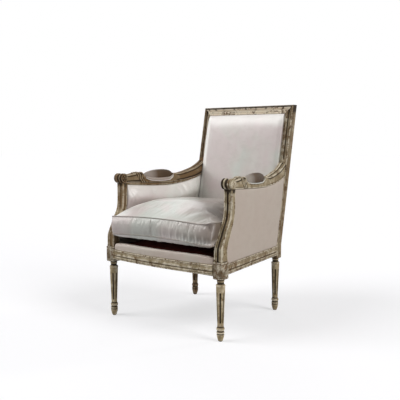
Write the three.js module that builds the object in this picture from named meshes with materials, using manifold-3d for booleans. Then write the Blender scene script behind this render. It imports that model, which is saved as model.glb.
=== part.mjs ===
import * as THREE from 'three';
import { mergeVertices } from 'three/addons/utils/BufferGeometryUtils.js';
import Module from 'manifold-3d';

// Bergere armchair with a square padded back, closed padded arms and a loose seat cushion.
// Millimetres, +Z up. The sitter faces -Y, and left and right are the sitter's own.

const wasm = await Module();
wasm.setup();

// Seat frame, leg centre to leg centre, and its heights above the floor
const frontLegSpread = 622;
const rearLegSpread = 497;
const legSpacing = 541;
const blockUnderside = 262;
const railRise = 15;
const railHeight = 44;
const railThickness = 28;
const sideRailProud = 20;
const frontRailBow = 18;
const frontRailProud = 4;
const rearRailInset = 2;

// Turned legs with square blocks, on nailed glides
const legRadius = 19.5;
const blockWidth = 46;
const blockDepth = 48;
const blockStand = 12;
const blockChamfer = 3;
const fluteCount = 6;
const fluteRadius = 5;
const fluteDepth = 3;
const fluteBottom = 76;
const fluteTop = 208;
const glideHeight = 3;
const glideRadius = 8;
const glideDome = 1;

// Back frame, raked above the seat
const backHeight = 1000;
const stileWidth = 42;
const stileDepth = 39;
const crestHeight = 42;
const rakeRise = 4;
const rake = THREE.MathUtils.degToRad(11.25);
const backRailRise = 24;
const backRailHeight = 40;
const mouldingDepth = 5;
const mouldingRunOut = 10;

// Arms
const armUndersideHeight = 626;
const armThickness = 45;
const armWidth = 42;
const scrollRadius = 23;
const scrollWidth = 48;
const scrollEyeRadius = 9;
const scrollEyeProud = 2.5;
const scrollReach = 17;
const armBeadDrop = 10;
const armBeadWidth = 13;
const supportWidth = 42;
const supportSetback = 69;
const supportInset = 2.5;

// Joinery
const tenonLength = 20;
const tenonThickness = 10;
const tenonShoulder = 7;
const stubTenonLength = 14;
const stubTenonSize = 16;
const jointGap = 0.3;
const mortiseDepthGap = 1;
const cutOverrun = 2;

// Corner blocks and their screws
const frontBlockReach = 88;
const rearBlockReach = 66;
const cornerBlockHeight = 30;
const cornerBlockDrop = 6;
const screwRadius = 2;
const screwHeadRadius = 4;
const screwHeadHeight = 2.5;
const screwBite = 16;
const screwRecess = 3;

// Springing under the seat
const strapWidth = 70;
const strapSpacing = 139;
const strapRowSpacing = 184;
const strapThickness = 1.2;
const strapLap = 16;
const strapWave = 0.85;
const dustCoverThickness = 1;
const dustCoverMargin = 8;
const dustCoverGap = 1.3;
const springWire = 2;
const springEndRadius = 30;
const springWaistRadius = 21;
const springTurns = 3.5;

// Upholstery
const deckEdgeHeight = 15;
const deckCrown = 51;
const deckHollow = 24;
const deckSideGap = 2;
const deckBearing = 12;
const borderHeight = 36;
const borderDepth = 25;
const borderSetback = 7;
const backPadRise = 39;
const backPadThickness = 6;
const backPadProud = 23;
const hessianThickness = 1.2;
const outsideBackThickness = 5;
const outsideBackInset = 1;
const outsideBackPuff = 3;
const sidePadRise = 41;
const sidePadSeat = 6;
const sidePadPuff = 13;
const sidePadFrontSetback = 5;
const sidePadRearSetback = 15;
const sidePanelInset = 8;
const sidePanelThickness = 8;
const sidePanelPuff = 3;
const armPadStart = 122;
const armPadLength = 200;
const armPadWidth = 40;
const armPadCrown = 23;
const softGap = 0.8;

// Loose cushion
const cushionOverhang = 11.5;
const cushionSideGap = 1;
const cushionBackGap = 4;
const cushionCornerRadius = 22;
const cushionBoxing = 88;
const weltLift = 11;
const cushionCrown = 64;
const cushionBulge = 5;
const weltRadius = 2.4;

// Materials
const paintedWood = { color: '#b8ac90', roughness: 0.72, metalness: 0 };
const plainWood = { color: '#a98a5f', roughness: 0.75, metalness: 0 };
const satin = { color: '#bdb2ae', roughness: 0.5, metalness: 0 };
const platformCloth = { color: '#1f1713', roughness: 0.9, metalness: 0 };
const jute = { color: '#a58c62', roughness: 0.95, metalness: 0 };
const lining = { color: '#2b2926', roughness: 0.95, metalness: 0 };
const steel = { color: '#8f9194', roughness: 0.35, metalness: 1 };

// Plan and height lines that the pieces share
const frontLegX = frontLegSpread / 2;
const rearLegX = rearLegSpread / 2;
const frontLegY = -legSpacing / 2;
const rearLegY = legSpacing / 2;
const railUnderside = blockUnderside + railRise;
const railTop = railUnderside + railHeight;
const blockTop = railTop + blockStand;
const rakeStart = railTop + rakeRise;
const blockFrontY = frontLegY - blockDepth / 2;
const blockRearY = frontLegY + blockDepth / 2;
const blockInnerX = frontLegX - blockWidth / 2;
const stileInnerX = rearLegX - stileWidth / 2;
const stileOuterX = rearLegX + stileWidth / 2;
const rakeSlope = Math.tan(rake);
const frontRailFaceY = blockFrontY - frontRailProud;
const frontRailInnerY = frontRailFaceY + railThickness;
const rearRailFaceY = rearLegY + stileDepth / 2 - rearRailInset;
const rearRailInnerY = rearRailFaceY - railThickness;
const crestUnderside = backHeight - crestHeight;
const backPadFloor = railTop + backPadRise;
const sidePadFloor = railTop + sidePadRise;

const vec = (x, y, z) => new THREE.Vector3(x, y, z);
const mix = (from, to, share) => from + (to - from) * share;

// Centre of the side rail in plan, in line with both legs
function sideLineX(y) {
  const share = (rearLegY - y) / legSpacing;
  return Math.max(rearLegX, mix(rearLegX, frontLegX, share));
}

// Front face of the rear stile, upright at the seat and raked above it
function stileFront(z) {
  return rearLegY - stileDepth / 2 + Math.max(0, z - rakeStart) * rakeSlope;
}

// Height of a line through a table of shares, at one share of its length
function tableValue(table, share, column) {
  const last = table.length - 1;
  let row = 1;
  while (row < last && table[row][0] < share) row += 1;
  const [from, to] = [table[row - 1], table[row]];
  const part = THREE.MathUtils.clamp((share - from[0]) / (to[0] - from[0]), 0, 1);
  return mix(from[column], to[column], part);
}

// Closed surfaces: rings of points in the same order, capped by the outline's own triangles
function closedGeometry(points, faces) {
  const geometry = new THREE.BufferGeometry();
  geometry.setAttribute('position', new THREE.Float32BufferAttribute(points.flatMap((p) => p.toArray()), 3));
  let volume = 0;
  for (const [a, b, c] of faces) {
    volume += points[a].dot(vec(0, 0, 0).crossVectors(points[b], points[c]));
  }
  const outward = volume > 0 ? faces : faces.map(([a, b, c]) => [a, c, b]);
  geometry.setIndex(outward.flat());
  return geometry;
}

function loft(rings, outline) {
  const count = rings[0].length;
  const faces = [];
  for (let ring = 0; ring + 1 < rings.length; ring += 1) {
    for (let k = 0; k < count; k += 1) {
      const a = ring * count + k;
      const b = ring * count + (k + 1) % count;
      faces.push([a, b, b + count], [a, b + count, a + count]);
    }
  }
  const flat = outline.map(([a, b]) => new THREE.Vector2(a, b));
  const last = (rings.length - 1) * count;
  for (const [a, b, c] of THREE.ShapeUtils.triangulateShape(flat, [])) {
    faces.push([a, c, b], [last + a, last + b, last + c]);
  }
  const forwards = THREE.ShapeUtils.isClockWise(flat) ? -1 : 1;
  const caps = faces.splice((rings.length - 1) * count * 2);
  const turned = caps.map(([a, b, c]) => (forwards > 0 ? [a, b, c] : [a, c, b]));
  return closedGeometry(rings.flat(), faces.concat(turned));
}

// Tube along a closed loop of rings
function loopedTube(rings) {
  const count = rings[0].length;
  const total = rings.length * count;
  const faces = [];
  for (let ring = 0; ring < rings.length; ring += 1) {
    for (let k = 0; k < count; k += 1) {
      const a = ring * count + k;
      const b = ring * count + (k + 1) % count;
      faces.push([a, b, (b + count) % total], [a, (b + count) % total, (a + count) % total]);
    }
  }
  return closedGeometry(rings.flat(), faces);
}

// Rings between two poles
function domed(bottomPole, rings, topPole) {
  const count = rings[0].length;
  const points = [bottomPole, ...rings.flat(), topPole];
  const faces = [];
  for (let k = 0; k < count; k += 1) {
    const next = (k + 1) % count;
    faces.push([0, 1 + next, 1 + k]);
    for (let ring = 0; ring + 1 < rings.length; ring += 1) {
      const a = 1 + ring * count + k;
      const b = 1 + ring * count + next;
      faces.push([a, b, b + count], [a, b + count, a + count]);
    }
    const top = 1 + (rings.length - 1) * count;
    faces.push([points.length - 1, top + k, top + next]);
  }
  return closedGeometry(points, faces);
}

// Padded skin over a four-sided patch: place(u, v, face) with u and v from -1 to 1,
// face 1 on the show side and 0 on the back, whose inner rings lie at the given shares
function padded(uCount, vCount, place, backShares = []) {
  const spread = (k, count) => Math.sin((Math.PI / 2) * (2 * k / count - 1));
  const points = [];
  for (let j = 0; j <= vCount; j += 1) {
    for (let i = 0; i <= uCount; i += 1) points.push(place(spread(i, uCount), spread(j, vCount), 1));
  }
  const at = (i, j) => j * (uCount + 1) + i;
  const faces = [];
  for (let j = 0; j < vCount; j += 1) {
    for (let i = 0; i < uCount; i += 1) {
      faces.push([at(i, j), at(i + 1, j), at(i + 1, j + 1)], [at(i, j), at(i + 1, j + 1), at(i, j + 1)]);
    }
  }
  const rim = [];
  for (let i = 0; i < uCount; i += 1) rim.push([i, 0]);
  for (let j = 0; j < vCount; j += 1) rim.push([uCount, j]);
  for (let i = uCount; i > 0; i -= 1) rim.push([i, vCount]);
  for (let j = vCount; j > 0; j -= 1) rim.push([0, j]);
  let outer = rim.map(([i, j]) => at(i, j));
  for (const share of [1, ...backShares]) {
    const start = points.length;
    for (const [i, j] of rim) points.push(place(spread(i, uCount) * share, spread(j, vCount) * share, 0));
    const inner = rim.map((_, k) => start + k);
    for (let k = 0; k < rim.length; k += 1) {
      const next = (k + 1) % rim.length;
      faces.push([outer[k], inner[k], inner[next]], [outer[k], inner[next], outer[next]]);
    }
    outer = inner;
  }
  points.push(place(0, 0, 0));
  const centre = points.length - 1;
  outer.forEach((index, k) => faces.push([index, centre, outer[(k + 1) % outer.length]]));
  return closedGeometry(points, faces);
}

// Box between two corners, set in place by a function of x, y and z
function brick([x0, y0, z0], [x1, y1, z1], place = vec) {
  const outline = [[x0, y0], [x1, y0], [x1, y1], [x0, y1]];
  return loft([z0, z1].map((z) => outline.map(([x, y]) => place(x, y, z))), outline);
}

function mirrored(geometry) {
  const copy = geometry.clone();
  copy.applyMatrix4(new THREE.Matrix4().makeScale(-1, 1, 1));
  const index = copy.getIndex().array;
  for (let k = 0; k < index.length; k += 3) [index[k + 1], index[k + 2]] = [index[k + 2], index[k + 1]];
  return copy;
}

// Booleans
function solidOf(geometry) {
  const bare = geometry.clone();
  bare.deleteAttribute('normal');
  bare.deleteAttribute('uv');
  const merged = mergeVertices(bare);
  const vertProperties = merged.getAttribute('position').array;
  const triVerts = new Uint32Array(merged.getIndex().array);
  return new wasm.Manifold(new wasm.Mesh({ numProp: 3, vertProperties, triVerts }));
}

function geometryOf(solid) {
  const mesh = solid.getMesh();
  const geometry = new THREE.BufferGeometry();
  geometry.setAttribute('position', new THREE.BufferAttribute(mesh.vertProperties, 3));
  geometry.setIndex(new THREE.BufferAttribute(mesh.triVerts, 1));
  return geometry;
}

// Every piece of the chair by name, while it is joined and cut
const pieces = new Map();

function piece(name, geometry, material) {
  pieces.set(name, { solid: solidOf(geometry), material });
}

function joinTo(name, geometry) {
  pieces.get(name).solid = pieces.get(name).solid.add(solidOf(geometry));
}

function cutFrom(name, geometry) {
  pieces.get(name).solid = pieces.get(name).solid.subtract(solidOf(geometry));
}

// The same left piece on the sitter's left, and mirrored on the right
function pair(name, geometry, material) {
  piece(`${name}_left`, geometry, material);
  piece(`${name}_right`, mirrored(geometry), material);
}

const handed = { left: (geometry) => geometry, right: mirrored };

// Tenon on one piece and its mortise, a joint gap larger, in the other.
// inward is the axis and sense in which the tenon goes in: [axis, 1] or [axis, -1]
function tenonJoint(tenoned, mortised, low, high, [axis, sense], place = vec, hand = 'left') {
  const [rootLow, rootHigh] = [[...low], [...high]];
  const root = sense > 0 ? rootLow : rootHigh;
  root[axis] -= sense * cutOverrun;
  joinTo(tenoned, handed[hand](brick(rootLow, rootHigh, place)));
  const mortiseLow = low.map((value) => value - jointGap);
  const mortiseHigh = high.map((value) => value + jointGap);
  const [mouth, end] = sense > 0 ? [mortiseLow, mortiseHigh] : [mortiseHigh, mortiseLow];
  mouth[axis] -= sense * cutOverrun;
  end[axis] += sense * mortiseDepthGap;
  cutFrom(mortised, handed[hand](brick(mortiseLow, mortiseHigh, place)));
}

// Moulded section of the show wood: across its width, and in from the face.
// Two raised fillets stand each side of a shallow hollow.
const mouldingShares = [
  [0, 0.5], [0.06, 0], [0.24, 0], [0.31, 1], [0.69, 1], [0.76, 0], [0.94, 0], [1, 0.5],
];

function mouldedSection(width, depth, hollow = 1) {
  const face = mouldingShares.map(([across, into]) => [across * width, into * hollow * mouldingDepth]);
  return [...face, [width, depth], [0, depth]];
}

const sectionOutline = mouldedSection(stileWidth, stileDepth);

// Turned leg: height and radius shares from the foot to the underside of the block
const turningShares = [
  [0, 0.5], [0.045, 0.67], [0.1, 0.82], [0.113, 0.76], [0.126, 0.83], [0.142, 0.81], [0.151, 0.7],
  [0.162, 0.7], [0.174, 0.82], [0.193, 0.85], [0.213, 0.82], [0.228, 0.69], [0.884, 0.98], [0.904, 1],
  [0.924, 0.72], [0.954, 0.72], [0.963, 0.79], [0.977, 0.79], [1, 0.95],
];

function turnedLeg() {
  const segments = fluteCount * 3;
  const height = blockUnderside - glideHeight;
  const profile = turningShares.map(([rise, radius]) => new THREE.Vector2(radius * legRadius, rise * height));
  const outline = [new THREE.Vector2(0, 0), ...profile, new THREE.Vector2(0, height + cutOverrun)];
  outline.splice(-1, 0, new THREE.Vector2(profile.at(-1).x, height + cutOverrun));
  const geometry = new THREE.LatheGeometry(outline, segments);
  geometry.rotateX(Math.PI / 2);
  geometry.translate(0, 0, glideHeight);
  return geometry;
}

function turnedRadius(z) {
  return tableValue(turningShares, (z - glideHeight) / (blockUnderside - glideHeight), 1) * legRadius;
}

// Round-ended flute, sunk into the tapering shaft
function flute(index) {
  const [low, high] = [fluteBottom + fluteRadius, fluteTop - fluteRadius];
  const outset = fluteRadius - fluteDepth;
  const [from, to] = [low, high].map((z) => vec(turnedRadius(z) + outset, 0, z));
  const geometry = new THREE.CapsuleGeometry(fluteRadius, from.distanceTo(to), 2, 6);
  const along = to.clone().sub(from).normalize();
  geometry.applyQuaternion(new THREE.Quaternion().setFromUnitVectors(vec(0, 1, 0), along));
  const middle = from.clone().add(to).multiplyScalar(0.5);
  geometry.translate(middle.x, middle.y, middle.z);
  geometry.rotateZ(index * 2 * Math.PI / fluteCount);
  return geometry;
}

function squareBlock(width, depth, top) {
  const levels = [[blockUnderside, -blockChamfer], [blockUnderside + blockChamfer, 0], [top, 0]];
  const rings = levels.map(([z, grow]) => {
    const [x, y] = [width / 2 + grow, depth / 2 + grow];
    return [vec(-x, -y, z), vec(x, -y, z), vec(x, y, z), vec(-x, y, z)];
  });
  return loft(rings, [[0, 0], [1, 0], [1, 1], [0, 1]]);
}

function flutedLeg(width, depth, top) {
  let solid = solidOf(turnedLeg());
  for (let index = 0; index < fluteCount; index += 1) solid = solid.subtract(solidOf(flute(index)));
  return geometryOf(solid.add(solidOf(squareBlock(width, depth, top))));
}

function frontLegs() {
  const leg = flutedLeg(blockWidth, blockDepth, blockTop);
  leg.translate(frontLegX, frontLegY, 0);
  pair('front_leg', leg, paintedWood);
}

// Rear leg and back stile are one piece, mitred to the crest at the top
function rearPosts() {
  const leg = flutedLeg(stileWidth, stileDepth, railUnderside);
  leg.translate(rearLegX, rearLegY, 0);
  const mouldingStart = armTopAtStile() + mouldingRunOut;
  const plainShare = 0.1;
  const levels = [railUnderside - cutOverrun, rakeStart, mouldingStart].map((z) => [z, plainShare]);
  levels.push([mouldingStart + mouldingRunOut, 1]);
  const rings = levels.map(([z, hollow]) => mouldedSection(stileWidth, stileDepth, hollow)
    .map(([across, into]) => vec(stileOuterX - across, stileFront(z) + into, z)));
  rings.push(mouldedSection(stileWidth, stileDepth).map(([across, into]) => {
    const z = backHeight - across * crestHeight / stileWidth - jointGap * (across / stileWidth);
    return vec(stileOuterX - across, stileFront(z) + into, z);
  }));
  pair('rear_post', leg, paintedWood);
  const stile = loft(rings, sectionOutline);
  joinTo('rear_post_left', stile);
  joinTo('rear_post_right', mirrored(stile));
}

// Back frame pieces lie in the raked plane: in is measured back from the stile's front face
const raked = (x, into, z) => vec(x, stileFront(z) + into, z);

function crestRail() {
  const ends = [1, -1].map((side) => mouldedSection(crestHeight, stileDepth).map(([down, into]) => {
    const x = stileOuterX - down * stileWidth / crestHeight - jointGap;
    return raked(side * x, into, backHeight - down);
  }));
  piece('crest_rail', loft(ends, sectionOutline), paintedWood);
  for (const hand of ['left', 'right']) {
    const middle = stileDepth / 2;
    const low = [stileInnerX, middle - tenonThickness / 2, crestUnderside + tenonShoulder];
    const high = [stileInnerX + tenonLength / 2, middle + tenonThickness / 2, backHeight - crestHeight / 2];
    tenonJoint('crest_rail', `rear_post_${hand}`, low, high, [0, 1], raked, hand);
  }
}

function backBottomRail() {
  const inner = stileInnerX - jointGap;
  const front = backPadThickness + hessianThickness + 2 * jointGap;
  const rear = stileDepth - outsideBackThickness - jointGap;
  const bottom = railTop + backRailRise;
  const top = bottom + backRailHeight;
  piece('back_bottom_rail', brick([-inner, front, bottom], [inner, rear, top], raked), plainWood);
  for (const hand of ['left', 'right']) {
    const middle = (front + rear) / 2;
    const low = [inner, middle - tenonThickness / 2, bottom + tenonShoulder];
    const high = [inner + tenonLength, middle + tenonThickness / 2, top - tenonShoulder];
    tenonJoint('back_bottom_rail', `rear_post_${hand}`, low, high, [0, 1], raked, hand);
  }
}

// Outer face of the front rail, bowed forward between the leg blocks
function frontRailFace(x) {
  const share = Math.min(1, Math.abs(x) / blockInnerX);
  return frontRailFaceY - frontRailBow * (1 - share * share);
}

function frontSeatRail() {
  const half = blockInnerX - jointGap;
  const steps = 10;
  const rings = [];
  for (let k = 0; k <= steps; k += 1) {
    const x = mix(-half, half, k / steps);
    const section = mouldedSection(railHeight, railThickness);
    rings.push(section.map(([up, into]) => {
      const atBack = into === railThickness;
      return vec(x, atBack ? frontRailInnerY : frontRailFace(x) + into, railUnderside + up);
    }));
  }
  piece('front_seat_rail', loft(rings, sectionOutline), paintedWood);
  const [bottom, top] = [railUnderside + tenonShoulder, railTop - tenonShoulder];
  for (const hand of ['left', 'right']) {
    const low = [half, frontRailInnerY - tenonShoulder - tenonThickness, bottom];
    const high = [half + tenonLength, frontRailInnerY - tenonShoulder, top];
    tenonJoint('front_seat_rail', `front_leg_${hand}`, low, high, [0, 1], vec, hand);
  }
}

function rearSeatRail() {
  const half = stileInnerX - jointGap;
  const ends = [-half, half].map((x) => mouldedSection(railHeight, railThickness)
    .map(([up, into]) => vec(x, rearRailFaceY - into, railUnderside + up)));
  piece('rear_seat_rail', loft(ends, sectionOutline), paintedWood);
  const middle = rearRailFaceY - railThickness / 2;
  const [bottom, top] = [railUnderside + tenonShoulder, railTop - tenonShoulder];
  for (const hand of ['left', 'right']) {
    const low = [half, middle - tenonThickness / 2, bottom];
    const high = [half + tenonLength, middle + tenonThickness / 2, top];
    tenonJoint('rear_seat_rail', `rear_post_${hand}`, low, high, [0, 1], vec, hand);
  }
}

// Pieces along the side: out is measured from the side line
const alongSide = (out, y, z) => vec(sideLineX(y) + out, y, z);
const sideRailInner = sideRailProud - railThickness;

function sideSeatRails() {
  const [front, rear] = [blockRearY + jointGap, stileFront(railTop) - jointGap];
  const ends = [front, rear].map((y) => mouldedSection(railHeight, railThickness)
    .map(([up, into]) => alongSide(sideRailProud - into, y, railUnderside + up)));
  pair('side_seat_rail', loft(ends, sectionOutline), paintedWood);
  const [inner, outer] = [-tenonThickness / 2, tenonThickness / 2];
  const [bottom, top] = [railUnderside + tenonShoulder, railTop - tenonShoulder];
  const atFront = [[inner, front - tenonLength, bottom], [outer, front, top], [1, -1], alongSide];
  const atRear = [[inner, rear, bottom], [outer, rear + tenonLength / 2, top], [1, 1], alongSide];
  for (const hand of ['left', 'right']) {
    tenonJoint(`side_seat_rail_${hand}`, `front_leg_${hand}`, ...atFront, hand);
    tenonJoint(`side_seat_rail_${hand}`, `rear_post_${hand}`, ...atRear, hand);
  }
}

// Arm rail: share of its length, underside and top as shares of its thickness above the
// underside at the front, and share of the moulding. It dips under the pad and sweeps up
// to the stile.
const armShares = [
  [0, 0, 0.87, 1], [0.022, 0, 0.86, 1], [0.067, 0, 0.86, 1], [0.125, -0.03, 0.95, 1], [0.16, -0.05, 1.05, 1],
  [0.2, -0.07, 1.1, 1], [0.215, -0.08, 0.98, 0.1], [0.23, -0.09, 0.7, 0.1], [0.26, -0.1, 0.49, 0.1],
  [0.32, -0.13, 0.38, 0.1], [0.42, -0.17, 0.31, 0.1], [0.52, -0.2, 0.34, 0.1], [0.56, -0.19, 0.5, 0.1],
  [0.594, -0.18, 0.82, 0.1], [0.664, -0.12, 0.77, 1], [0.735, -0.04, 0.89, 1], [0.803, 0.08, 1.09, 1],
  [0.872, 0.23, 1.32, 1], [0.927, 0.39, 1.58, 1], [0.967, 0.51, 1.84, 1], [1, 0.62, 2.13, 1],
];

function armTopAtStile() {
  return armUndersideHeight + armShares.at(-1)[2] * armThickness;
}

const armFrontY = blockFrontY + supportInset + supportSetback - scrollReach + scrollRadius;
const armRearY = stileFront(armTopAtStile());
const armShareAt = (y) => (y - armFrontY) / (armRearY - armFrontY);
const armUnderside = (y) => armUndersideHeight + tableValue(armShares, armShareAt(y), 1) * armThickness;
const armTop = (y) => armUndersideHeight + tableValue(armShares, armShareAt(y), 2) * armThickness;

// Centre of the arm in plan, from above the front leg to the middle of the stile
const armLineX = (y) => mix(frontLegX, rearLegX, THREE.MathUtils.clamp(armShareAt(y), 0, 1));
const onArm = (out, y, z) => vec(armLineX(y) + out, y, z);

function armRails() {
  const rings = armShares.map(([share, under, over, hollow]) => {
    const y = mix(armFrontY, armRearY, share);
    const [bottom, top] = [under, over].map((rise) => armUndersideHeight + rise * armThickness);
    return mouldedSection(armWidth, top - bottom, hollow).map(([across, down]) => {
      const z = top - down;
      const out = armWidth / 2 - across;
      return share === 1 ? vec(rearLegX + out, stileFront(z) - jointGap, z) : onArm(out, y, z);
    });
  });
  pair('arm_rail', loft(rings, sectionOutline), paintedWood);
  const eyeWidth = scrollWidth + 2 * scrollEyeProud;
  for (const [radius, width] of [[scrollRadius, scrollWidth], [scrollEyeRadius, eyeWidth]]) {
    const scroll = new THREE.CylinderGeometry(radius, radius, width, 20);
    scroll.rotateZ(Math.PI / 2);
    scroll.translate(frontLegX, armFrontY, armUndersideHeight + scrollRadius);
    joinTo('arm_rail_left', scroll);
    joinTo('arm_rail_right', mirrored(scroll));
  }
  const middle = (armUnderside(armRearY) + armTop(armRearY)) / 2;
  const rear = stileFront(middle) - jointGap;
  const low = [rearLegX - tenonThickness / 2, rear, middle - tenonLength / 2];
  const high = [rearLegX + tenonThickness / 2, rear + tenonLength, middle + tenonLength / 2];
  for (const hand of ['left', 'right']) {
    tenonJoint(`arm_rail_${hand}`, `rear_post_${hand}`, low, high, [1, 1], vec, hand);
  }
}

// Bead under the inner edge of the arm, from the support to the stile, deepest near the middle
const beadShares = [[0, 0.8], [0.4, 1.3], [0.75, 0.8], [1, 0.1]];
const beadUnderside = (y) => armUnderside(y) - armBeadDrop * tableValue(beadShares, armShareAt(y), 1);

function armBeads() {
  const frontShare = armShareAt(supportRear(armUndersideHeight) + jointGap);
  const behind = armShares.map(([share]) => share).filter((share) => share > frontShare);
  const [inner, outer] = [-armWidth / 2, armBeadWidth - armWidth / 2];
  const outline = [[0, 0], [1, 0], [1, 1], [0, 1]];
  const rings = [frontShare, ...behind].map((share) => {
    const y = mix(armFrontY, armRearY, share);
    const heights = [beadUnderside(y), armUnderside(y) + cutOverrun];
    return outline.map(([side, level]) => {
      const out = side ? outer : inner;
      const z = heights[level];
      return share === 1 ? vec(rearLegX + out, stileFront(z) - jointGap, z) : onArm(out, y, z);
    });
  });
  const bead = loft(rings, outline);
  joinTo('arm_rail_left', bead);
  joinTo('arm_rail_right', mirrored(bead));
}

// Arm support: height share, setback share and depth share of the swept front post
const supportShares = [
  [0, 0, 0.9], [0.17, 0.02, 0.8], [0.25, 0.14, 0.77], [0.34, 0.34, 0.74], [0.46, 0.6, 0.66],
  [0.52, 0.76, 0.6], [0.62, 0.94, 0.54], [0.78, 1, 0.54], [1, 1, 0.57],
];

const supportShareAt = (z) => (z - blockTop) / (armUndersideHeight - blockTop);
const supportFront = (z) => blockFrontY + supportInset
  + tableValue(supportShares, supportShareAt(z), 1) * supportSetback;
const supportDepth = (z) => tableValue(supportShares, supportShareAt(z), 2) * blockDepth;
const supportRear = (z) => (z < blockTop ? blockRearY : supportFront(z) + supportDepth(z));

function armSupports() {
  const bottom = blockTop + jointGap;
  const rings = supportShares.map(([share]) => {
    const z = Math.max(mix(blockTop, armUndersideHeight, share), bottom);
    return mouldedSection(supportWidth, supportDepth(z)).map(([across, into]) => {
      const y = supportFront(z) + into;
      return vec(frontLegX + supportWidth / 2 - across, y, share === 1 ? armUnderside(y) - jointGap : z);
    });
  });
  pair('arm_support', loft(rings, sectionOutline), paintedWood);
  const half = stubTenonSize / 2;
  const footY = supportFront(bottom) + supportDepth(bottom) / 2;
  const headY = supportFront(armUndersideHeight) + supportDepth(armUndersideHeight) / 2;
  const top = armUnderside(headY) - jointGap;
  for (const hand of ['left', 'right']) {
    const [support, leg, arm] = ['arm_support', 'front_leg', 'arm_rail'].map((name) => `${name}_${hand}`);
    const footLow = [frontLegX - half, footY - half, bottom - stubTenonLength];
    tenonJoint(support, leg, footLow, [frontLegX + half, footY + half, bottom], [2, -1], vec, hand);
    const headHigh = [frontLegX + half, headY + half / 2, top + stubTenonLength];
    tenonJoint(support, arm, [frontLegX - half, headY - half / 2, top], headHigh, [2, 1], vec, hand);
  }
}

// Corner blocks, notched round the leg blocks, and their screws into the rails
function cornerOutline(railY, legY, legX, reach) {
  const inward = Math.sign(-railY);
  const clear = jointGap * inward;
  const sideY = legY + clear;
  const farY = sideY + reach * inward;
  const railX = (y) => sideLineX(y) + sideRailInner - jointGap;
  return [
    [legX - jointGap - reach, railY + clear], [legX - jointGap, railY + clear], [legX - jointGap, sideY],
    [railX(sideY), sideY], [railX(farY), farY], [railX(farY) - railThickness / 2, farY],
    [legX - jointGap - reach, railY + clear + inward * railThickness / 2],
  ];
}

function woodScrew(length) {
  const outline = [
    [0, 0], [screwHeadRadius, 0], [screwHeadRadius, screwHeadHeight / 3], [screwRadius, screwHeadHeight],
    [screwRadius, length - screwRadius * 2], [0, length],
  ].map(([radius, along]) => new THREE.Vector2(radius, along));
  return new THREE.LatheGeometry(outline, 8);
}

// Clearance round a screw and its countersunk head, open towards the driver
function screwHole(length) {
  const [shank, head] = [screwRadius + jointGap, screwHeadRadius + jointGap];
  const reach = railThickness + screwRecess;
  const outline = [
    [0, -reach], [head, -reach], [head, screwHeadHeight / 3 + jointGap], [shank, screwHeadHeight + jointGap],
    [shank, length - screwRadius * 2 + jointGap], [0, length + mortiseDepthGap],
  ].map(([radius, along]) => new THREE.Vector2(radius, along));
  return new THREE.LatheGeometry(outline, 8);
}

// Screw from a point in the corner block along a level direction into the rail
function blockScrew(name, hand, start, direction, length, cutNames) {
  const turn = new THREE.Quaternion().setFromUnitVectors(vec(0, 1, 0), direction);
  const set = (geometry) => handed[hand](geometry.applyQuaternion(turn).translate(start.x, start.y, start.z));
  for (const cut of cutNames) cutFrom(cut, set(screwHole(length)));
  piece(name, set(woodScrew(length)), steel);
}

function cornerBlocks() {
  const bottom = railTop - cornerBlockDrop - cornerBlockHeight;
  const level = bottom + cornerBlockHeight / 2;
  const [endScrewShare, sideScrewShare] = [0.7, 0.72];
  const corners = [
    ['front', frontRailInnerY, blockRearY, blockInnerX, frontBlockReach],
    ['rear', rearRailInnerY, stileFront(railUnderside), stileInnerX, rearBlockReach],
  ];
  for (const [end, railY, legY, legX, reach] of corners) {
    const inward = Math.sign(-railY);
    const outline = cornerOutline(railY, legY, legX, reach);
    const levels = [bottom, bottom + cornerBlockHeight];
    const rings = levels.map((z) => outline.map(([x, y]) => vec(x, y, z)));
    pair(`corner_block_${end}`, loft(rings, outline), plainWood);
    const depth = railThickness / 2 + screwRecess;
    const length = depth + screwBite;
    const endStart = vec(legX - reach * endScrewShare, railY + inward * depth, level);
    const sideY = legY + inward * reach * sideScrewShare;
    const sideStart = vec(sideLineX(sideY) + sideRailInner - depth, sideY, level);
    for (const hand of ['left', 'right']) {
      const block = `corner_block_${end}_${hand}`;
      const [endCuts, sideCuts] = [[block, `${end}_seat_rail`], [block, `side_seat_rail_${hand}`]];
      blockScrew(`screw_${end}_rail_${hand}`, hand, endStart, vec(0, -inward, 0), length, endCuts);
      blockScrew(`screw_side_rail_${end}_${hand}`, hand, sideStart, vec(1, 0, 0), length, sideCuts);
    }
  }
}

// Nailed glides under the feet
function glides() {
  const top = glideHeight - jointGap;
  const rim = [[glideRadius - glideDome, 0], [glideRadius, glideDome], [glideRadius, top]];
  const outline = [[0, 0], ...rim, [0, top]];
  for (const [end, x, y] of [['front', frontLegX, frontLegY], ['rear', rearLegX, rearLegY]]) {
    const glide = new THREE.LatheGeometry(outline.map(([radius, z]) => new THREE.Vector2(radius, z)), 16);
    glide.rotateX(Math.PI / 2);
    glide.translate(x, y, 0);
    pair(`glide_${end}`, glide, steel);
  }
}

// Webbing: three straps front to back and two across, woven over and under at the crossings
const strapLevel = railUnderside - jointGap - strapThickness / 2;
const lengthwiseX = [-1, 0, 1].map((side) => side * strapSpacing);
const crosswiseY = [-1, 1].map((side) => side * strapRowSpacing / 2);

function strap(from, to, crossings, place) {
  const half = strapWidth / 2;
  const stations = [[from, 0]];
  for (const [at, lift] of crossings) stations.push([at - half, lift], [at + half, lift]);
  stations.push([to, 0]);
  const thick = strapThickness / 2;
  const section = [[-half, -thick], [half, -thick], [half, thick], [-half, thick]];
  const rings = stations.map(([along, lift]) => section.map(([across, up]) => {
    return place(along, across, strapLevel + lift * strapWave + up);
  }));
  return loft(rings, section);
}

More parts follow.
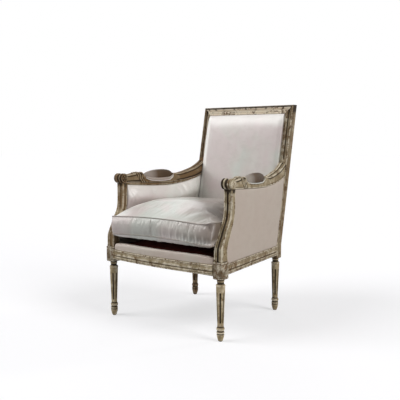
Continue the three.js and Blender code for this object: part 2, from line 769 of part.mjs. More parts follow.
function webbing() {
  const names = ['right', 'middle', 'left'];
  lengthwiseX.forEach((x, column) => {
    const crossings = crosswiseY.map((y, row) => [y, (column + row) % 2 ? 1 : -1]);
    const place = (y, across, z) => vec(x + across, y, z);
    const band = strap(frontRailInnerY - strapLap, rearRailInnerY + strapLap, crossings, place);
    piece(`webbing_lengthwise_${names[column]}`, band, jute);
  });
  crosswiseY.forEach((y, row) => {
    const crossings = lengthwiseX.map((x, column) => [x, (column + row) % 2 ? -1 : 1]);
    const reach = sideLineX(y + strapWidth / 2) + sideRailInner + strapLap;
    const name = `webbing_crosswise_${['front', 'rear'][row]}`;
    piece(name, strap(-reach, reach, crossings, (x, across, z) => vec(x, y + across, z)), jute);
  });
}

// Hourglass coil springs, one on each crossing of the webbing
function springs() {
  const bottom = strapLevel + strapWave + strapThickness / 2 + jointGap;
  const top = railTop + deckHollow;
  const steps = springTurns * 8;
  const sides = 5;
  const [rowNames, columnNames] = [['front', 'rear'], ['right', 'middle', 'left']];
  for (const [row, y] of crosswiseY.entries()) {
    for (const [column, x] of lengthwiseX.entries()) {
      const rings = [];
      for (let k = 0; k <= steps; k += 1) {
        const share = k / steps;
        const angle = share * springTurns * 2 * Math.PI;
        const radius = mix(springWaistRadius, springEndRadius, (2 * share - 1) ** 2);
        const z = mix(bottom + springWire, top - springWire, share);
        rings.push(Array.from({ length: sides }, (_, side) => {
          const turn = side * 2 * Math.PI / sides + Math.PI / 2;
          const reach = radius + springWire * Math.cos(turn);
          const level = z + springWire * Math.sin(turn);
          return vec(x + reach * Math.cos(angle), y + reach * Math.sin(angle), level);
        }));
      }
      const outline = Array.from({ length: sides }, (_, side) => {
        const turn = side * 2 * Math.PI / sides;
        return [Math.cos(turn), Math.sin(turn)];
      });
      piece(`spring_${rowNames[row]}_${columnNames[column]}`, loft(rings, outline), steel);
    }
  }
}

// Bottoming cloth tacked under the rails, cut round the leg blocks
function dustCover() {
  const top = strapLevel - strapWave - strapThickness / 2 - jointGap;
  const bottom = top - dustCoverThickness;
  const [frontY, rearY] = [frontRailFaceY + dustCoverMargin, rearRailFaceY - dustCoverMargin];
  const frontSide = blockRearY + dustCoverGap;
  const rearSide = stileFront(railUnderside) - dustCoverGap;
  const [frontX, rearX] = [blockInnerX - dustCoverGap, stileInnerX - dustCoverGap];
  const outX = (y) => sideLineX(y) + sideRailProud - dustCoverMargin;
  const left = [
    [frontX, frontY], [frontX, frontSide], [outX(frontSide), frontSide],
    [outX(rearSide), rearSide], [rearX, rearSide], [rearX, rearY],
  ];
  const outline = [...left, ...left.map(([x, y]) => [-x, y]).reverse()];
  piece('dust_cover', loft([bottom, top].map((z) => outline.map(([x, y]) => vec(x, y, z))), outline), lining);
}

// Rounded edge and level middle of a stuffed face
const plump = (u, v, power) => Math.sqrt((1 - Math.abs(u) ** power) * (1 - Math.abs(v) ** power));

// Sprung platform under the cushion, stuffed over the springs and sewn down to the rails
const deckFloor = railTop + jointGap;
const deckTop = deckFloor + deckEdgeHeight + deckCrown;

function seatDeck() {
  const hollowShares = [0.9];
  const rear = stileFront(railTop) - softGap;
  const frontHalf = blockInnerX - deckSideGap;
  const place = (u, v, face) => {
    const front = frontRailFace(u * frontHalf) + borderSetback + borderDepth + softGap;
    const y = mix(front, rear, (v + 1) / 2);
    const half = Math.min(frontHalf, sideLineX(y) + sideRailInner + deckBearing);
    const inner = Math.max(Math.abs(u), Math.abs(v)) < 1 ? deckHollow : 0;
    const crowned = deckEdgeHeight + deckCrown * (1 - Math.abs(u) ** 3) * (1 - Math.abs(v) ** 3);
    return vec(u * half, y, deckFloor + (face ? crowned : inner));
  };
  piece('seat_deck', padded(12, 12, place, hollowShares), platformCloth);
}

// Padded roll along the front edge, on the bowed rail
function frontBorder() {
  const half = blockInnerX - softGap;
  const steps = 14;
  const endShare = 0.55;
  const sectionShares = [
    [0, 0], [0.06, 0.35], [0.1, 0.75], [0.3, 0.97], [0.6, 1], [0.9, 0.9], [1, 0.6], [1, 0],
  ];
  const rings = [];
  for (let k = 0; k <= steps; k += 1) {
    const share = 2 * k / steps - 1;
    const x = half * Math.sin(share * Math.PI / 2);
    const size = mix(endShare, 1, Math.sqrt(1 - share ** 6));
    const middle = frontRailFace(x) + borderSetback + borderDepth / 2;
    rings.push(sectionShares.map(([into, up]) => {
      const y = middle + (into * borderDepth - borderDepth / 2) * size;
      return vec(x, y, deckFloor + up * borderHeight * size);
    }));
  }
  piece('front_border', loft(rings, sectionShares), satin);
}

// Back: stuffed pad in the frame's opening, hessian behind it, outside cover at the rear
function backUpholstery() {
  const half = stileInnerX - jointGap;
  const top = crestUnderside - jointGap;
  const pad = (u, v, face) => {
    const z = mix(backPadFloor, top, (v + 1) / 2);
    const proud = backPadProud * plump(u, v, 5);
    return raked(u * half, face ? -proud : backPadThickness, z);
  };
  piece('back_pad', padded(12, 14, pad), satin);
  const hessianFront = backPadThickness + jointGap;
  const low = [-half, hessianFront, backPadFloor];
  piece('back_hessian', brick(low, [half, hessianFront + hessianThickness, top], raked), jute);
  const [front, rear] = [stileDepth - outsideBackThickness, stileDepth];
  const cover = (u, v, face) => {
    const z = mix(rakeStart, top, (v + 1) / 2);
    return raked(u * half, face ? rear - outsideBackInset + outsideBackPuff * plump(u, v, 4) : front, z);
  };
  piece('back_outside_cover', padded(8, 8, cover), satin);
}

// Place on a side panel, from the support to the stile and from its floor up to the arm
function sidePatch(u, v, floor, ceiling, frontGap, rearGap) {
  let z = mix(floor, armUndersideHeight, (v + 1) / 2);
  let y = 0;
  const passes = 6;
  for (let pass = 0; pass < passes; pass += 1) {
    y = mix(supportRear(z) + frontGap, stileFront(z) - rearGap, (u + 1) / 2);
    z = mix(floor, ceiling(y) - softGap - jointGap, (v + 1) / 2);
  }
  return [y, z];
}

// The sides lean out from the rail to the arm
function sideWall(out, y, z) {
  const lean = THREE.MathUtils.clamp((z - railTop) / (armUndersideHeight - railTop), 0, 1);
  return vec(mix(sideLineX(y), armLineX(y), lean) + out, y, z);
}

function sideUpholstery() {
  const inside = (u, v, face) => {
    const [y, z] = sidePatch(u, v, sidePadFloor, beadUnderside, sidePadFrontSetback, sidePadRearSetback);
    const show = -armWidth / 2 - sidePadPuff * plump(u, v, 4);
    return sideWall(face ? show + sidePadSeat : -sidePadSeat, y, z);
  };
  pair('side_pad', padded(14, 8, inside), satin);
  const outside = (u, v, face) => {
    const [y, z] = sidePatch(u, v, deckFloor, armUnderside, 3 * softGap, softGap);
    const show = sidePanelInset + sidePanelThickness + sidePanelPuff * plump(u, v, 4);
    return sideWall(face ? show : sidePanelInset, y, z);
  };
  pair('side_cover', padded(12, 12, outside), satin);
}

// Oval pad let into the dip of the arm, level with the wood at both ends
function armPads() {
  const [front, rear] = [armFrontY + armPadStart, armFrontY + armPadStart + armPadLength];
  const endShare = 0.5;
  const place = (u, v, face) => {
    const y = mix(front, rear, (v + 1) / 2);
    const floor = armTop(y) + softGap;
    const brim = mix(armTop(front), armTop(rear), (v + 1) / 2);
    const crown = Math.max(floor + softGap, brim + armPadCrown * plump(u, v, 2.6));
    const half = mix(endShare, 1, Math.sqrt(1 - Math.abs(v) ** 3)) * armPadWidth / 2;
    return onArm(u * half, y, face ? crown : floor);
  };
  pair('arm_pad', padded(8, 14, place), satin);
}

// Loose cushion, between the supports and side pads, from the front edge to the back pad
const cushionUnderside = deckTop + jointGap;
const cushionFrontY = blockFrontY - cushionOverhang;
const cushionRearY = stileFront(cushionUnderside) - backPadProud - cushionBackGap;

// Inner face of the supports and the side pads at one depth
function cushionHalfWidth(y) {
  const padFront = supportRear(armUndersideHeight);
  const entry = THREE.MathUtils.smoothstep(y, padFront - sidePadPuff * 2, padFront + sidePadPuff);
  const pads = sideWall(-armWidth / 2, y, cushionUnderside).x - (sidePadPuff - sidePadSeat) * entry;
  return Math.min(frontLegX - supportWidth / 2, pads) - cushionSideGap;
}

// Plan of the cushion: a rounded rectangle in u and v, which run from -1 to 1
function cushionPlan() {
  const cornerU = cushionCornerRadius / cushionHalfWidth(cushionFrontY);
  const cornerV = 2 * cushionCornerRadius / (cushionRearY - cushionFrontY);
  const [sideCount, cornerCount] = [7, 3];
  const cornerSigns = [[1, 1], [-1, 1], [-1, -1], [1, -1]];
  const onCorner = (index, turns) => {
    const [signU, signV] = cornerSigns[index];
    const angle = turns * Math.PI / 2;
    const u = signU * (1 - cornerU) + cornerU * Math.cos(angle);
    return [u, signV * (1 - cornerV) + cornerV * Math.sin(angle)];
  };
  const plan = [];
  for (let index = 0; index < cornerSigns.length; index += 1) {
    for (let k = 0; k <= cornerCount; k += 1) plan.push(onCorner(index, index + k / cornerCount));
    const from = plan.at(-1);
    const to = onCorner((index + 1) % cornerSigns.length, index + 1);
    for (let k = 1; k < sideCount; k += 1) {
      plan.push([mix(from[0], to[0], k / sideCount), mix(from[1], to[1], k / sideCount)]);
    }
  }
  return plan;
}

function weltHeights(u, v) {
  const frontLift = weltLift * (1 - u * u) * THREE.MathUtils.clamp((1 - v) / 2, 0, 1);
  const lower = cushionUnderside + frontLift;
  return [lower, lower + cushionBoxing];
}

function cushionPoint(u, v, z) {
  const [, upper] = weltHeights(u, v);
  const lean = Math.max(0, v) * (Math.min(z, upper) - cushionUnderside) * rakeSlope;
  const y = mix(cushionFrontY, cushionRearY, (v + 1) / 2) + lean;
  return vec(u * cushionHalfWidth(y), y, z);
}

// Level direction out of a loop of points at one of them
function outOfLoop(points, index) {
  const along = points[(index + 1) % points.length].clone().sub(points.at(index - 1));
  return vec(along.y, -along.x, 0).normalize();
}

// One ring of the cushion at a share of its plan, a height over that plan, and grown outward
function cushionRing(ring, height, grow) {
  const points = cushionPlan().map(([u, v]) => cushionPoint(u * ring, v * ring, height(u * ring, v * ring)));
  return points.map((point, index) => point.clone().addScaledVector(outOfLoop(points, index), grow));
}

function seatCushion() {
  const clear = weltRadius * 2 + jointGap;
  const undersideShares = [0.35, 0.7, 0.93];
  const boxingShares = [0, 0.12, 0.35, 0.65, 0.88, 1];
  const crownShares = [0.95, 0.85, 0.68, 0.45, 0.22];
  const rings = [];
  for (const ring of undersideShares) {
    const settle = ring ** 3;
    const height = (u, v) => mix(cushionUnderside, weltHeights(u, v)[0], settle);
    rings.push(cushionRing(ring, height, -clear * settle));
  }
  for (const rise of boxingShares) {
    const bulge = cushionBulge * Math.sin(rise * Math.PI);
    const height = (u, v) => mix(...weltHeights(u, v), rise);
    rings.push(cushionRing(1, height, bulge - clear));
  }
  for (const ring of crownShares) {
    const swell = (u, v) => cushionCrown * (1 - Math.abs(u) ** 3) * (1 - Math.abs(v) ** 3);
    rings.push(cushionRing(ring, (u, v) => weltHeights(u, v)[1] + swell(u, v), -clear * ring));
  }
  const bottomPole = vec(0, (cushionFrontY + cushionRearY) / 2, cushionUnderside);
  const [, upper] = weltHeights(0, 0);
  const topPole = vec(0, (cushionFrontY + cushionRearY) / 2, upper + cushionCrown);
  piece('seat_cushion', domed(bottomPole, rings, topPole), satin);
}

// Piped seams round both edges of the cushion
function cushionWelts() {
  const sides = 5;
  for (const [name, which] of [['cushion_welt_bottom', 0], ['cushion_welt_top', 1]]) {
    const centres = cushionRing(1, (u, v) => weltHeights(u, v)[which], -weltRadius);
    const rings = centres.map((centre, index) => {
      const out = outOfLoop(centres, index);
      return Array.from({ length: sides }, (_, side) => {
        const turn = side * 2 * Math.PI / sides;
        const offset = out.clone().multiplyScalar(weltRadius * Math.cos(turn));
        return centre.clone().add(offset).add(vec(0, 0, weltRadius * Math.sin(turn)));
      });
    });
    piece(name, loopedTube(rings), satin);
  }
}

frontLegs();
rearPosts();
crestRail();
backBottomRail();
frontSeatRail();
rearSeatRail();
sideSeatRails();
armRails();
armBeads();
armSupports();
cornerBlocks();
glides();
webbing();
springs();
dustCover();
seatDeck();
frontBorder();
backUpholstery();
sideUpholstery();
armPads();
seatCushion();
cushionWelts();

// The chair stands on the origin, under the middle of its outline
const chair = new THREE.Group();
for (const [name, { solid, material }] of pieces) {
  const mesh = new THREE.Mesh(geometryOf(solid), new THREE.MeshStandardMaterial(material));
  mesh.name = name;
  chair.add(mesh);
}
const middle = new THREE.Box3().setFromObject(chair).getCenter(vec(0, 0, 0));
chair.position.set(0, -middle.y, 0);
chair.updateMatrixWorld(true);

export default chair;
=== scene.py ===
from math import pi, radians, tan

import bpy
import numpy as np
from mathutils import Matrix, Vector
from mathutils.bvhtree import BVHTree


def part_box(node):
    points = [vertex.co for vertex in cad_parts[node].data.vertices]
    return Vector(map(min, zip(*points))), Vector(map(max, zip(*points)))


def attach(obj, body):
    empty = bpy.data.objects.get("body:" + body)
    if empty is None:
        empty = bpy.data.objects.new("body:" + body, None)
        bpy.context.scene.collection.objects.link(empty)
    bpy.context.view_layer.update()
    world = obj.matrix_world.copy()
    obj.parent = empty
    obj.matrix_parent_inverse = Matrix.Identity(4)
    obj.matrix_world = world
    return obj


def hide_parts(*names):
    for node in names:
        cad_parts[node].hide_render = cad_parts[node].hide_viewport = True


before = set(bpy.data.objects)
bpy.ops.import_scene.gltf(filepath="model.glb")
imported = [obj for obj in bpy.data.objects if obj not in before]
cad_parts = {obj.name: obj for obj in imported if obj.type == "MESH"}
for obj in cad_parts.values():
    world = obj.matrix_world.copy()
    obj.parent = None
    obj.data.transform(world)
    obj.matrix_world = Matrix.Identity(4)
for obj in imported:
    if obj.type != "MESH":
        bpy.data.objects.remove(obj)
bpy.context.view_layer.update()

# Studio
# The chair stands on a plain white floor between soft lamps, a high and a low one on each side. A
# weak one behind gives the satin its gloss, and a small low one the long shadows of the feet.
camera_data = bpy.data.cameras.new("camera")
camera_data.lens = 54.27
camera_data.sensor_width = 36
camera = bpy.data.objects.new("camera", camera_data)
camera.location = (1.730, -2.29238, 0.826)
camera.rotation_euler = (radians(90 - 5.63), 0, radians(37.79))
bpy.context.collection.objects.link(camera)
bpy.context.scene.camera = camera
bpy.context.scene.view_settings.view_transform = "Standard"


def linear(code):
    """Colour from the hex code that a screen shows: (c + 0.055) / 1.055 to the power 2.4, and
    c / 12.92 for the darkest."""
    shown = np.array([int(code[k:k + 2], 16) for k in (1, 3, 5)]) / 255
    curved = np.where(shown <= 0.04045, shown / 12.92, ((shown + 0.055) / 1.055) ** 2.4)
    return (*curved.tolist(), 1.0)


def add(tree, kind, inputs, **settings):
    """New shader node with its settings, whose inputs take a value or the socket that feeds them."""
    made = tree.nodes.new("ShaderNode" + kind)
    for name, value in settings.items():
        setattr(made, name, value)
    for name, value in inputs.items():
        if isinstance(value, bpy.types.NodeSocket):
            tree.links.new(value, made.inputs[name])
        else:
            made.inputs[name].default_value = value
    return made


def lamp(name, toward, share, spread, colour):
    """Far soft lamp in a direction from the chair, spread wide in degrees, that alone lights a white
    surface facing it to a share of white."""
    data = bpy.data.lights.new(name, "SUN")
    data.energy = share * pi
    data.angle = radians(spread)
    data.color = colour
    made = bpy.data.objects.new(name, data)
    made.rotation_euler = Vector(toward).to_track_quat("Z", "Y").to_euler()
    bpy.context.collection.objects.link(made)


lamp("left_low_softbox", (-0.85, -0.48, 0.30), 0.24, 30, (1.0, 0.985, 0.955))
lamp("left_high_softbox", (-0.50, -0.50, 0.70), 0.40, 34, (1.0, 0.995, 0.985))
lamp("right_low_softbox", (0.95, -0.05, 0.30), 0.28, 30, (1.0, 0.98, 0.95))
lamp("right_high_softbox", (0.66, 0.08, 0.72), 0.34, 28, (1.0, 0.99, 0.975))
lamp("rear_left_softbox", (-0.60, 0.62, 0.50), 0.09, 34, (0.98, 1.0, 1.0))
lamp("low_rear_lamp", (0.45, 0.85, 0.42), 0.10, 9, (1.0, 0.975, 0.94))

world = bpy.data.worlds.new("studio_white")
bpy.context.scene.world = world
world.use_nodes = True
sky = world.node_tree
path = add(sky, "LightPath", {})
seen = add(sky, "Math", {0: path.outputs["Is Camera Ray"], 1: path.outputs["Is Glossy Ray"]}, operation="MAXIMUM")
seen = add(sky, "Math", {0: seen.outputs[0], 1: path.outputs["Is Transmission Ray"]}, operation="MAXIMUM")
glow = add(sky, "Background", {"Color": linear("#f6f7ff"), "Strength": 0.16})
backdrop = add(sky, "Background", {"Color": (1, 1, 1, 1), "Strength": 1.0})
shown = add(sky, "MixShader", {0: seen.outputs[0], 1: glow.outputs[0], 2: backdrop.outputs[0]})
sky.links.new(shown.outputs[0], sky.nodes["World Output"].inputs["Surface"])

floor_mesh = bpy.data.meshes.new("studio_floor")
floor_mesh.from_pydata([(-30, -30, 0), (30, -30, 0), (30, 30, 0), (-30, 30, 0)], [], [(0, 1, 2, 3)])
studio_floor = bpy.data.objects.new("studio_floor", floor_mesh)
bpy.context.collection.objects.link(studio_floor)
floor_paint = bpy.data.materials.new("floor_white")
floor_paint.use_nodes = True
floor_tree = floor_paint.node_tree
path = add(floor_tree, "LightPath", {})
lift = add(floor_tree, "Math", {0: path.outputs["Is Camera Ray"], 1: 0.518}, operation="MULTIPLY")
floor_shader = floor_tree.nodes["Principled BSDF"]
floor_shader.inputs["Base Color"].default_value = linear("#c0c0c3")
floor_shader.inputs["Roughness"].default_value = 0.9
floor_shader.inputs["Specular IOR Level"].default_value = 0.0
floor_shader.inputs["Emission Color"].default_value = (1, 1, 1, 1)
floor_tree.links.new(lift.outputs[0], floor_shader.inputs["Emission Strength"])
floor_mesh.materials.append(floor_paint)

# Front legs
# Each front leg is one turned and fluted beech post with a square block on top, that takes the
# rails and the arm support. It is painted, rubbed back on the beads, and dark in the flutes.
LEG_TURN_LOW, LEG_TURN_HIGH = 0.003, 0.262
LEG_RADIUS = 0.0195
LEG_BLOCK_TOP = 0.333
FLUTES, FLUTE_RADIUS, FLUTE_SINK = 6, 0.005, 0.0034
FLUTE_LOW, FLUTE_HIGH = 0.076, 0.208
PAINT_CREAM, PAINT_OLIVE = "#d8ccb0", "#8f8552"
PAINT_WORN, PAINT_DARK, PAINT_RUBBED = "#6d5137", "#2b2118", "#e8dfca"


def ramp(tree, value, *stops):
    """Colour or grey along a value, from stops of place and colour code or grey level."""
    made = add(tree, "ValToRGB", {0: value})
    for _ in range(len(stops) - 2):
        made.color_ramp.elements.new(0.5)
    for element, (place, tone) in zip(made.color_ramp.elements, stops):
        element.position = place
        element.color = linear(tone) if isinstance(tone, str) else (tone, tone, tone, 1)
    return made.outputs[0]


def maths(tree, operation, *values):
    """One arithmetic step on sockets or plain numbers."""
    return add(tree, "Math", dict(enumerate(values)), operation=operation).outputs[0]


def step_up(tree, value, low, high):
    """Smooth step of a value from 0 at low to 1 at high."""
    inputs = {0: value, 1: low, 2: high, 3: 0.0, 4: 1.0}
    return add(tree, "MapRange", inputs, interpolation_type="SMOOTHSTEP").outputs[0]


def mixed(tree, share, under, over):
    """Colour over another by a share."""
    colours = [linear(tone) if isinstance(tone, str) else tone for tone in (under, over)]
    return add(tree, "Mix", {0: share, 6: colours[0], 7: colours[1]}, data_type="RGBA").outputs[2]


def noise(tree, where, scale, detail=3.0, roughness=0.6, distortion=0.0):
    """Grey cloud pattern at a scale per metre."""
    inputs = {"Vector": where, "Scale": scale, "Detail": detail, "Roughness": roughness, "Distortion": distortion}
    return add(tree, "TexNoise", inputs).outputs[0]


def stretched(tree, where, scale):
    """Object coordinates stretched by a scale on each axis."""
    return add(tree, "Mapping", {"Vector": where, "Scale": scale}).outputs[0]


def new_group(name, inputs, outputs):
    """Empty node group with number inputs and named outputs, and its two end nodes."""
    group = bpy.data.node_groups.new(name, "ShaderNodeTree")
    for socket, value in inputs.items():
        group.interface.new_socket(socket, in_out="INPUT", socket_type="NodeSocketFloat").default_value = value
    for socket in outputs:
        kind = "NodeSocketColor" if socket == "Color" else "NodeSocketFloat"
        group.interface.new_socket(socket, in_out="OUTPUT", socket_type=kind)
    return group, group.nodes.new("NodeGroupInput"), group.nodes.new("NodeGroupOutput")


def worn_paint_group():
    """Chalky paint over brown wood. Soft clouds run from grey to cream, with olive and brown patches;
    the paint is gone where clouds and specks together pass a level that edges lower; a dark glaze,
    and painted shade where the relief is lowered for it, lies where relief is below zero; beads are
    rubbed light where it is high."""
    group, source, target = new_group("worn_paint", {"Relief": 0, "Wear": 0.5, "Warmth": 0.3, "Glaze": 1.0, "Dirt": 0.0, "Pale": 0.0}, ("Color", "Roughness", "Height"))
    relief, wear, warmth, glaze, dirt, pale = (source.outputs[k] for k in range(6))
    where = add(group, "TexCoord", {}).outputs["Object"]
    broad = noise(group, where, 9, 2, 0.5)
    cloud = noise(group, where, 38, 4, 0.6)
    speck = noise(group, where, 190, 3, 0.6)
    drift = noise(group, stretched(group, where, (1.0, 1.3, 0.8)), 30, 4, 0.7, 0.5)
    paint = ramp(group, cloud, (0.36, "#9d8f72"), (0.5, "#b8a98a"), (0.64, PAINT_CREAM))
    olive = maths(group, "MULTIPLY", step_up(group, drift, 0.5, 0.66), 0.45)
    paint = mixed(group, olive, paint, PAINT_OLIVE)
    brown = maths(group, "ADD", 0.4, maths(group, "MULTIPLY", step_up(group, broad, 0.4, 0.62), 0.6))
    paint = mixed(group, maths(group, "MULTIPLY", brown, warmth), paint, "#7a5831")
    paint = mixed(group, dirt, paint, "#6f614c")
    paint = mixed(group, pale, paint, "#e8d8c0")
    raised = maths(group, "MAXIMUM", relief, 0.0)
    sunk = maths(group, "MAXIMUM", maths(group, "MULTIPLY", relief, -1.0), 0.0)
    rubbed = step_up(group, maths(group, "ADD", maths(group, "MULTIPLY", raised, 0.36), cloud), 0.56, 0.86)
    browned = maths(group, "MULTIPLY", maths(group, "MINIMUM", warmth, 1.0), 0.42)
    rubbed = maths(group, "MULTIPLY", rubbed, maths(group, "SUBTRACT", 0.72, browned))
    paint = mixed(group, rubbed, paint, PAINT_RUBBED)
    chip = maths(group, "ADD", maths(group, "MULTIPLY", speck, 0.34), maths(group, "MULTIPLY", drift, 0.66))
    chip = maths(group, "ADD", chip, maths(group, "MULTIPLY", maths(group, "ABSOLUTE", relief), 0.045))
    chip = maths(group, "ADD", chip, maths(group, "MULTIPLY", wear, 0.10))
    bare = step_up(group, chip, 0.625, 0.665)
    wood = ramp(group, speck, (0.35, PAINT_DARK), (0.55, PAINT_WORN), (0.75, "#8a6846"))
    worn = mixed(group, maths(group, "MULTIPLY", bare, 0.88), paint, wood)
    pooled_glaze_and_painted_shade = maths(group, "MULTIPLY", sunk, maths(group, "ADD", 0.6, maths(group, "MULTIPLY", cloud, 0.7)))
    pooled_glaze_and_painted_shade = step_up(group, maths(group, "MULTIPLY", pooled_glaze_and_painted_shade, glaze), 0.1, 0.72)
    tone = mixed(group, maths(group, "MULTIPLY", pooled_glaze_and_painted_shade, 0.94), worn, PAINT_DARK)
    shine = maths(group, "ADD", 0.5, maths(group, "MULTIPLY", cloud, 0.4))
    height = maths(group, "SUBTRACT", maths(group, "MULTIPLY", speck, 0.35), maths(group, "MULTIPLY", bare, 0.8))
    for name, value in (("Color", tone), ("Roughness", shine), ("Height", height)):
        group.links.new(value, target.inputs[name])
    return group


def material_of(name, group, values, bump, shine):
    """Material that feeds a group's colour, roughness and height to a Principled shader, with a bump
    of the given depth in metres and plain values on the shader's own sockets."""
    material = bpy.data.materials.new(name)
    material.use_nodes = True
    tree = material.node_tree
    shader = tree.nodes["Principled BSDF"]
    made = tree.nodes.new("ShaderNodeGroup")
    made.node_tree = group
    for socket, value in values.items():
        if isinstance(value, str):
            mark = add(tree, "Attribute", {}, attribute_name=value)
            tree.links.new(mark.outputs["Fac"], made.inputs[socket])
        else:
            made.inputs[socket].default_value = value
    tree.links.new(made.outputs["Color"], shader.inputs["Base Color"])
    tree.links.new(made.outputs["Roughness"], shader.inputs["Roughness"])
    relief = add(tree, "Bump", {"Height": made.outputs["Height"], "Distance": bump, "Strength": 1.0})
    tree.links.new(relief.outputs[0], shader.inputs["Normal"])
    for socket, value in shine.items():
        shader.inputs[socket].default_value = value
    return material


def put(name, points, faces, material, relief=None, sharp=38):
    """Mesh piece from arrays of points and faces, smooth but for edges sharper than an angle,
    with the relief of each point as an attribute from -1 in a groove, or where shade is painted, to 1
    on a bead."""
    mesh = bpy.data.meshes.new(name)
    mesh.from_pydata(points.reshape(-1, 3).tolist(), [], faces)
    mesh.polygons.foreach_set("use_smooth", np.ones(len(faces), dtype=bool))
    if relief is not None:
        mesh.attributes.new("relief", "FLOAT", "POINT").data.foreach_set("value", relief.ravel().astype(np.float32))
    mesh.materials.append(material)
    mesh.set_sharp_from_angle(angle=radians(sharp))
    made = bpy.data.objects.new(name, mesh)
    bpy.context.collection.objects.link(made)
    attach(made, "frame")
    return made


def skin(rings, first=0, looped=False):
    """Faces over rings of points (ring, side, xyz), closed by a flat face at both ends unless it is a
    loop, and turned outward by the sign of the volume: a sixth of the sum of a . (b x c)."""
    count, sides = rings.shape[:2]
    ring, side = np.meshgrid(np.arange(count if looped else count - 1), np.arange(sides), indexing="ij")
    beyond, across = (ring + 1) % count, (side + 1) % sides
    corners = [ring * sides + side, ring * sides + across, beyond * sides + across, beyond * sides + side]
    quads = np.stack(corners, axis=-1).reshape(-1, 4)
    spots = rings.reshape(-1, 3) - rings.reshape(-1, 3).mean(axis=0)
    a, b, c, d = (spots[quads[:, k]] for k in range(4))
    volume = (a * np.cross(b, c)).sum() + (a * np.cross(c, d)).sum()
    ends = []
    if not looped:
        ends = [np.arange(sides)[::-1], np.arange(sides) + (count - 1) * sides]
        for end in ends:
            p = spots[end]
            volume += (p[:1] * np.cross(p[1:-1], p[2:])).sum()
    faces = [*quads.tolist(), *(end.tolist() for end in ends)]
    if volume < 0:
        faces = [face[::-1] for face in faces]
    return [[index + first for index in face] for face in faces]


def joined(parts):
    """Points, faces and relief of several closed skins that make one piece."""
    faces, points, relief, first = [], [], [], 0
    for rings, marks, looped in parts:
        faces += skin(rings, first, looped)
        points.append(rings.reshape(-1, 3))
        relief.append(np.broadcast_to(marks, rings.shape[:2]).ravel())
        first += rings.shape[0] * rings.shape[1]
    return np.concatenate(points), faces, np.concatenate(relief)


def through(table, share, column):
    """Smooth line through a table's rows: cubic between two rows, with the slope at each row the
    weighted mean of the slopes beside it, and none at a peak."""
    rows = np.array(table)
    x, y = rows[:, 0], rows[:, column]
    run, rise = np.diff(x), np.diff(y)
    slope = rise / run
    inner = np.where(slope[1:] * slope[:-1] > 0, 2 * slope[1:] * slope[:-1] / (slope[1:] + slope[:-1] + 1e-12), 0)
    tangent = np.concatenate([slope[:1], inner, slope[-1:]])
    at = np.clip(share, x[0], x[-1])
    k = np.clip(np.searchsorted(x, at, side="right") - 1, 0, len(run) - 1)
    t = (at - x[k]) / run[k]
    start = (1 + 2 * t) * (1 - t) ** 2 * y[k] + t * (1 - t) ** 2 * run[k] * tangent[k]
    return start + t * t * (3 - 2 * t) * y[k + 1] + t * t * (t - 1) * run[k] * tangent[k + 1]


# Height share, radius share and relief of the turning, from the foot to the block
LEG_TURNING = (
    (0, 0.5, 0.2), (0.02, 0.58, 0.3), (0.05, 0.69, 0.1), (0.085, 0.8, 0.1), (0.1, 0.83, 0.6), (0.108, 0.79, -0.9),
    (0.116, 0.76, -1), (0.122, 0.82, 0.2), (0.134, 0.86, 0.9), (0.145, 0.81, -0.4), (0.152, 0.71, -1),
    (0.16, 0.71, -1), (0.17, 0.81, 0.1), (0.185, 0.87, 0.9), (0.2, 0.87, 0.7), (0.214, 0.81, -0.2),
    (0.228, 0.69, -0.8), (0.25, 0.695, 0), (0.5, 0.81, 0.05), (0.8, 0.945, 0.05), (0.872, 0.965, 0.1), (0.884, 0.98, 0.5),
    (0.896, 1.03, 0.9), (0.908, 0.99, 0.5), (0.918, 0.82, -0.5), (0.928, 0.72, -0.9), (0.95, 0.72, -0.8),
    (0.956, 0.78, 0.3), (0.967, 0.81, 0.8), (0.978, 0.79, -0.3), (0.984, 0.8, -0.9), (1, 0.93, -0.4),
)


def turned_leg(x, y, sides=108, rows=230):
    """Lathe form about an upright axis: radius by height, less the depth of six round-ended flutes,
    each the part of a circle of the flute's radius that reaches under the surface."""
    share = np.unique(np.concatenate([np.linspace(0, 1, rows), [row[0] for row in LEG_TURNING]]))[:, None]
    height = LEG_TURN_LOW + share * (LEG_TURN_HIGH - LEG_TURN_LOW)
    radius = through(LEG_TURNING, share, 1) * LEG_RADIUS
    turn = np.arange(sides) * 2 * pi / sides
    from_flute = (turn + pi / FLUTES) % (2 * pi / FLUTES) - pi / FLUTES
    aside = np.sin(from_flute) * radius
    low, high = FLUTE_LOW + FLUTE_RADIUS, FLUTE_HIGH - FLUTE_RADIUS
    beyond = np.maximum(0, np.maximum(low - height, height - high))
    under = np.sqrt(np.maximum(0, FLUTE_RADIUS ** 2 - aside ** 2 - beyond ** 2))
    depth = np.maximum(0, under - (FLUTE_RADIUS - FLUTE_SINK))
    reach = radius - depth
    relief = np.where(depth > 0, 0.4 - 1.5 * depth / FLUTE_SINK, through(LEG_TURNING, share, 2))
    rings = np.stack([x + reach * np.cos(turn), y + reach * np.sin(turn), np.broadcast_to(height, reach.shape)], axis=-1)
    return rings, relief


def square_block(x, y, width, depth, levels):
    """Square post with small round arrises through levels of height, inset and relief."""
    corner = 0.0016
    turn = np.linspace(0, pi / 2, 4)
    quarter = np.stack([np.cos(turn) - 1, np.sin(turn) - 1], axis=-1) * corner
    spin = [quarter @ np.array([[c, s], [-s, c]]) for c, s in ((1, 0), (0, 1), (-1, 0), (0, -1))]
    half = np.array([[width, depth], [-width, depth], [-width, -depth], [width, -depth]]) / 2
    outline = np.concatenate([spin[k] + half[k] for k in range(4)])
    rings, marks = [], []
    for height, inset, relief in levels:
        plan = outline * (1 - 2 * inset / np.array([width, depth]))
        rings.append(np.column_stack([plan + (x, y), np.full(len(plan), height)]))
        marks.append(np.tile([0.45, 0.9, 0.9, 0.45], 4) * (relief >= 0) + relief)
    return np.array(rings), np.clip(np.array(marks), -1, 1)


